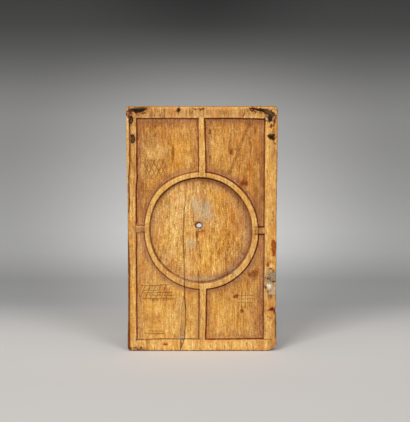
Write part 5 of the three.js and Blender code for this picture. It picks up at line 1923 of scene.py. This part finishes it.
# Floor, backdrop, light and camera
studio = {
    "distance": 2.245,
    "elevation": math.radians(8.0),
    "frameHeight": 0.4287,  # what the picture takes in at the leaf
    "aim": (0.0031, 0.0, 0.1435),
    "halfWidth": 3.0,
    "wallAt": 0.42,
    "bend": 0.16,
    # greys painted on the paper, by metres along it from the front: painted fall-off of light towards the
    # top and a painted shadow band at the bend
    "tones": (
        (1.3, 193), (1.45, 199), (1.6, 209), (1.68, 210), (1.74, 203), (1.82, 187), (1.87, 170),
        (1.895, 160), (1.93, 148), (1.955, 155), (1.98, 162), (2.01, 161), (2.06, 151), (2.11, 145),
        (2.15, 139), (2.18, 125), (2.205, 107), (2.23, 88), (2.26, 70), (2.29, 62), (2.5, 44),
    ),
    "floorWarmth": 3.0,
    # a painted glow on the paper behind the leaf: where, how far, how much
    "glowAt": 2.037,
    "glowReach": (0.254, 0.3, 0.34),  # sideways, up and down
    "glowGain": 0.85,
    "topShade": (2.2, 2.29, 0.17, 0.42),  # painted shade at the top of the paper: from, full at, half width, strength
    # place, target, size, energy, colour
    "lights": {
        "keyLight": ((-0.52, -1.25, 1.2), (0, 0, 0.12), 0.6, 16.0, (1.0, 0.985, 0.96)),
        "fillLight": ((0.66, -1.3, 1.0), (0, 0, 0.12), 0.6, 8.0, (0.97, 0.985, 1.0)),
        "paperLight": ((0.0, -0.4, 1.6), (0, 0.3, 0), 1.2, 6.0, (1, 1, 1)),
    },
    "airLight": 0.34,
}


def makePaper():
    # painted light and shade on the paper: greys along it, a painted glow behind the leaf and painted
    # shade at the top
    material, nodes = newMaterial("studioPaper")
    along = nodes.field("along")
    low, high = studio["tones"][0][0], studio["tones"][-1][0]
    stops = []
    for place, tone in studio["tones"]:
        warmth = studio["floorWarmth"] * float(1 - rise(place, 1.7, 1.9))
        stops.append(((place - low) / (high - low), paint(tone + warmth, tone, tone - warmth)))
    share = nodes.add("ShaderNodeMapRange", {0: along, 1: low, 2: high}).outputs[0]
    across = nodes.add("ShaderNodeSeparateXYZ", {0: nodes.position}).outputs[0]
    away = nodes.maths("ABSOLUTE", across)
    sideReach, upReach, downReach = studio["glowReach"]
    above = nodes.minus(along, studio["glowAt"])
    up = nodes.larger(nodes.over(above, upReach), nodes.over(above, -downReach))
    side = nodes.over(away, sideReach)
    spread = nodes.maths("SQRT", nodes.plus(nodes.times(up, up), nodes.times(side, side)))
    gain = nodes.remap(spread, 0.0, 1.0, 1 + studio["glowGain"], 1.0)
    start, full, halfWidth, strength = studio["topShade"]
    nearMiddle = nodes.remap(away, 0.0, halfWidth, strength, 0.0)
    shaded = nodes.times(nodes.remap(along, start, full), nearMiddle)
    gain = nodes.times(gain, nodes.minus(1.0, shaded))
    paper = nodes.vector("SCALE", {0: nodes.ramp(share, stops), 3: gain})
    # seen from behind, the paper lets the camera through to the leaf's back
    behind = nodes.add("ShaderNodeNewGeometry").outputs["Backfacing"]
    seen = nodes.add("ShaderNodeLightPath").outputs["Is Camera Ray"]
    solid = nodes.minus(1.0, nodes.times(behind, seen))
    for label, value in {
        "Base Color": paper, "Alpha": solid, "Roughness": 0.9, "Specular IOR Level": 0.1,
    }.items():
        nodes.put(value, nodes.shader.inputs[label])
    return material


def makeSweep():
    # floor, bend and wall in one sheet of paper
    width, wallAt, bend = studio["halfWidth"], studio["wallAt"], studio["bend"]
    steps = [(-1.6, 0.0), (-0.4, 0.0), (0.1, 0.0)]
    for i in range(13):
        turn = math.pi / 2 * i / 12
        steps.append((wallAt - bend + bend * math.sin(turn), bend - bend * math.cos(turn)))
    steps += [(wallAt, 0.6), (wallAt, 1.6)]
    points = [(x, y, z) for y, z in steps for x in (-width, width)]
    faces = [(2 * i, 2 * i + 1, 2 * i + 3, 2 * i + 2) for i in range(len(steps) - 1)]
    mesh = bpy.data.meshes.new("studio_sweep")
    mesh.from_pydata(points, [], faces)
    mesh.polygons.foreach_set("use_smooth", [True] * len(faces))
    mesh.materials.append(makePaper())
    length = np.concatenate([[0], np.cumsum(np.hypot(*np.diff(np.array(steps), axis=0).T))])
    carry(mesh, "along", np.repeat(length, 2))
    added("studio_sweep", mesh)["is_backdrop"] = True


def lookAt(made, place, target):
    made.location = place
    made.rotation_euler = (Vector(target) - Vector(place)).to_track_quat("-Z", "Y").to_euler()


def makeStudio():
    makeSweep()
    for name, (place, target, size, energy, colour) in studio["lights"].items():
        data = bpy.data.lights.new(name, "AREA")
        data.shape = "SQUARE"
        data.size = size
        data.energy = energy
        data.color = colour
        lookAt(added(name, data), place, target)
    world = bpy.data.worlds.new("studioAir")
    world.use_nodes = True
    air = world.node_tree.nodes["Background"].inputs
    air[0].default_value = (1, 1, 1, 1)
    air[1].default_value = studio["airLight"]
    scene = bpy.context.scene
    scene.world = world

    data = bpy.data.cameras.new("photoCamera")
    data.sensor_fit = "VERTICAL"
    data.sensor_height = 24.0
    data.lens = 24.0 * studio["distance"] / studio["frameHeight"]
    data.clip_end = 20
    camera = added("photoCamera", data)
    away = Vector((0, -math.cos(studio["elevation"]), math.sin(studio["elevation"])))
    lookAt(camera, Vector(studio["aim"]) + away * studio["distance"], studio["aim"])
    scene.camera = camera
    scene.view_settings.view_transform = "Standard"
    print("stage: studio ready")


makeStudio()
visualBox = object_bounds()
[[list(map(float, corner)) for corner in box] for box in (cadBox, visualBox)]
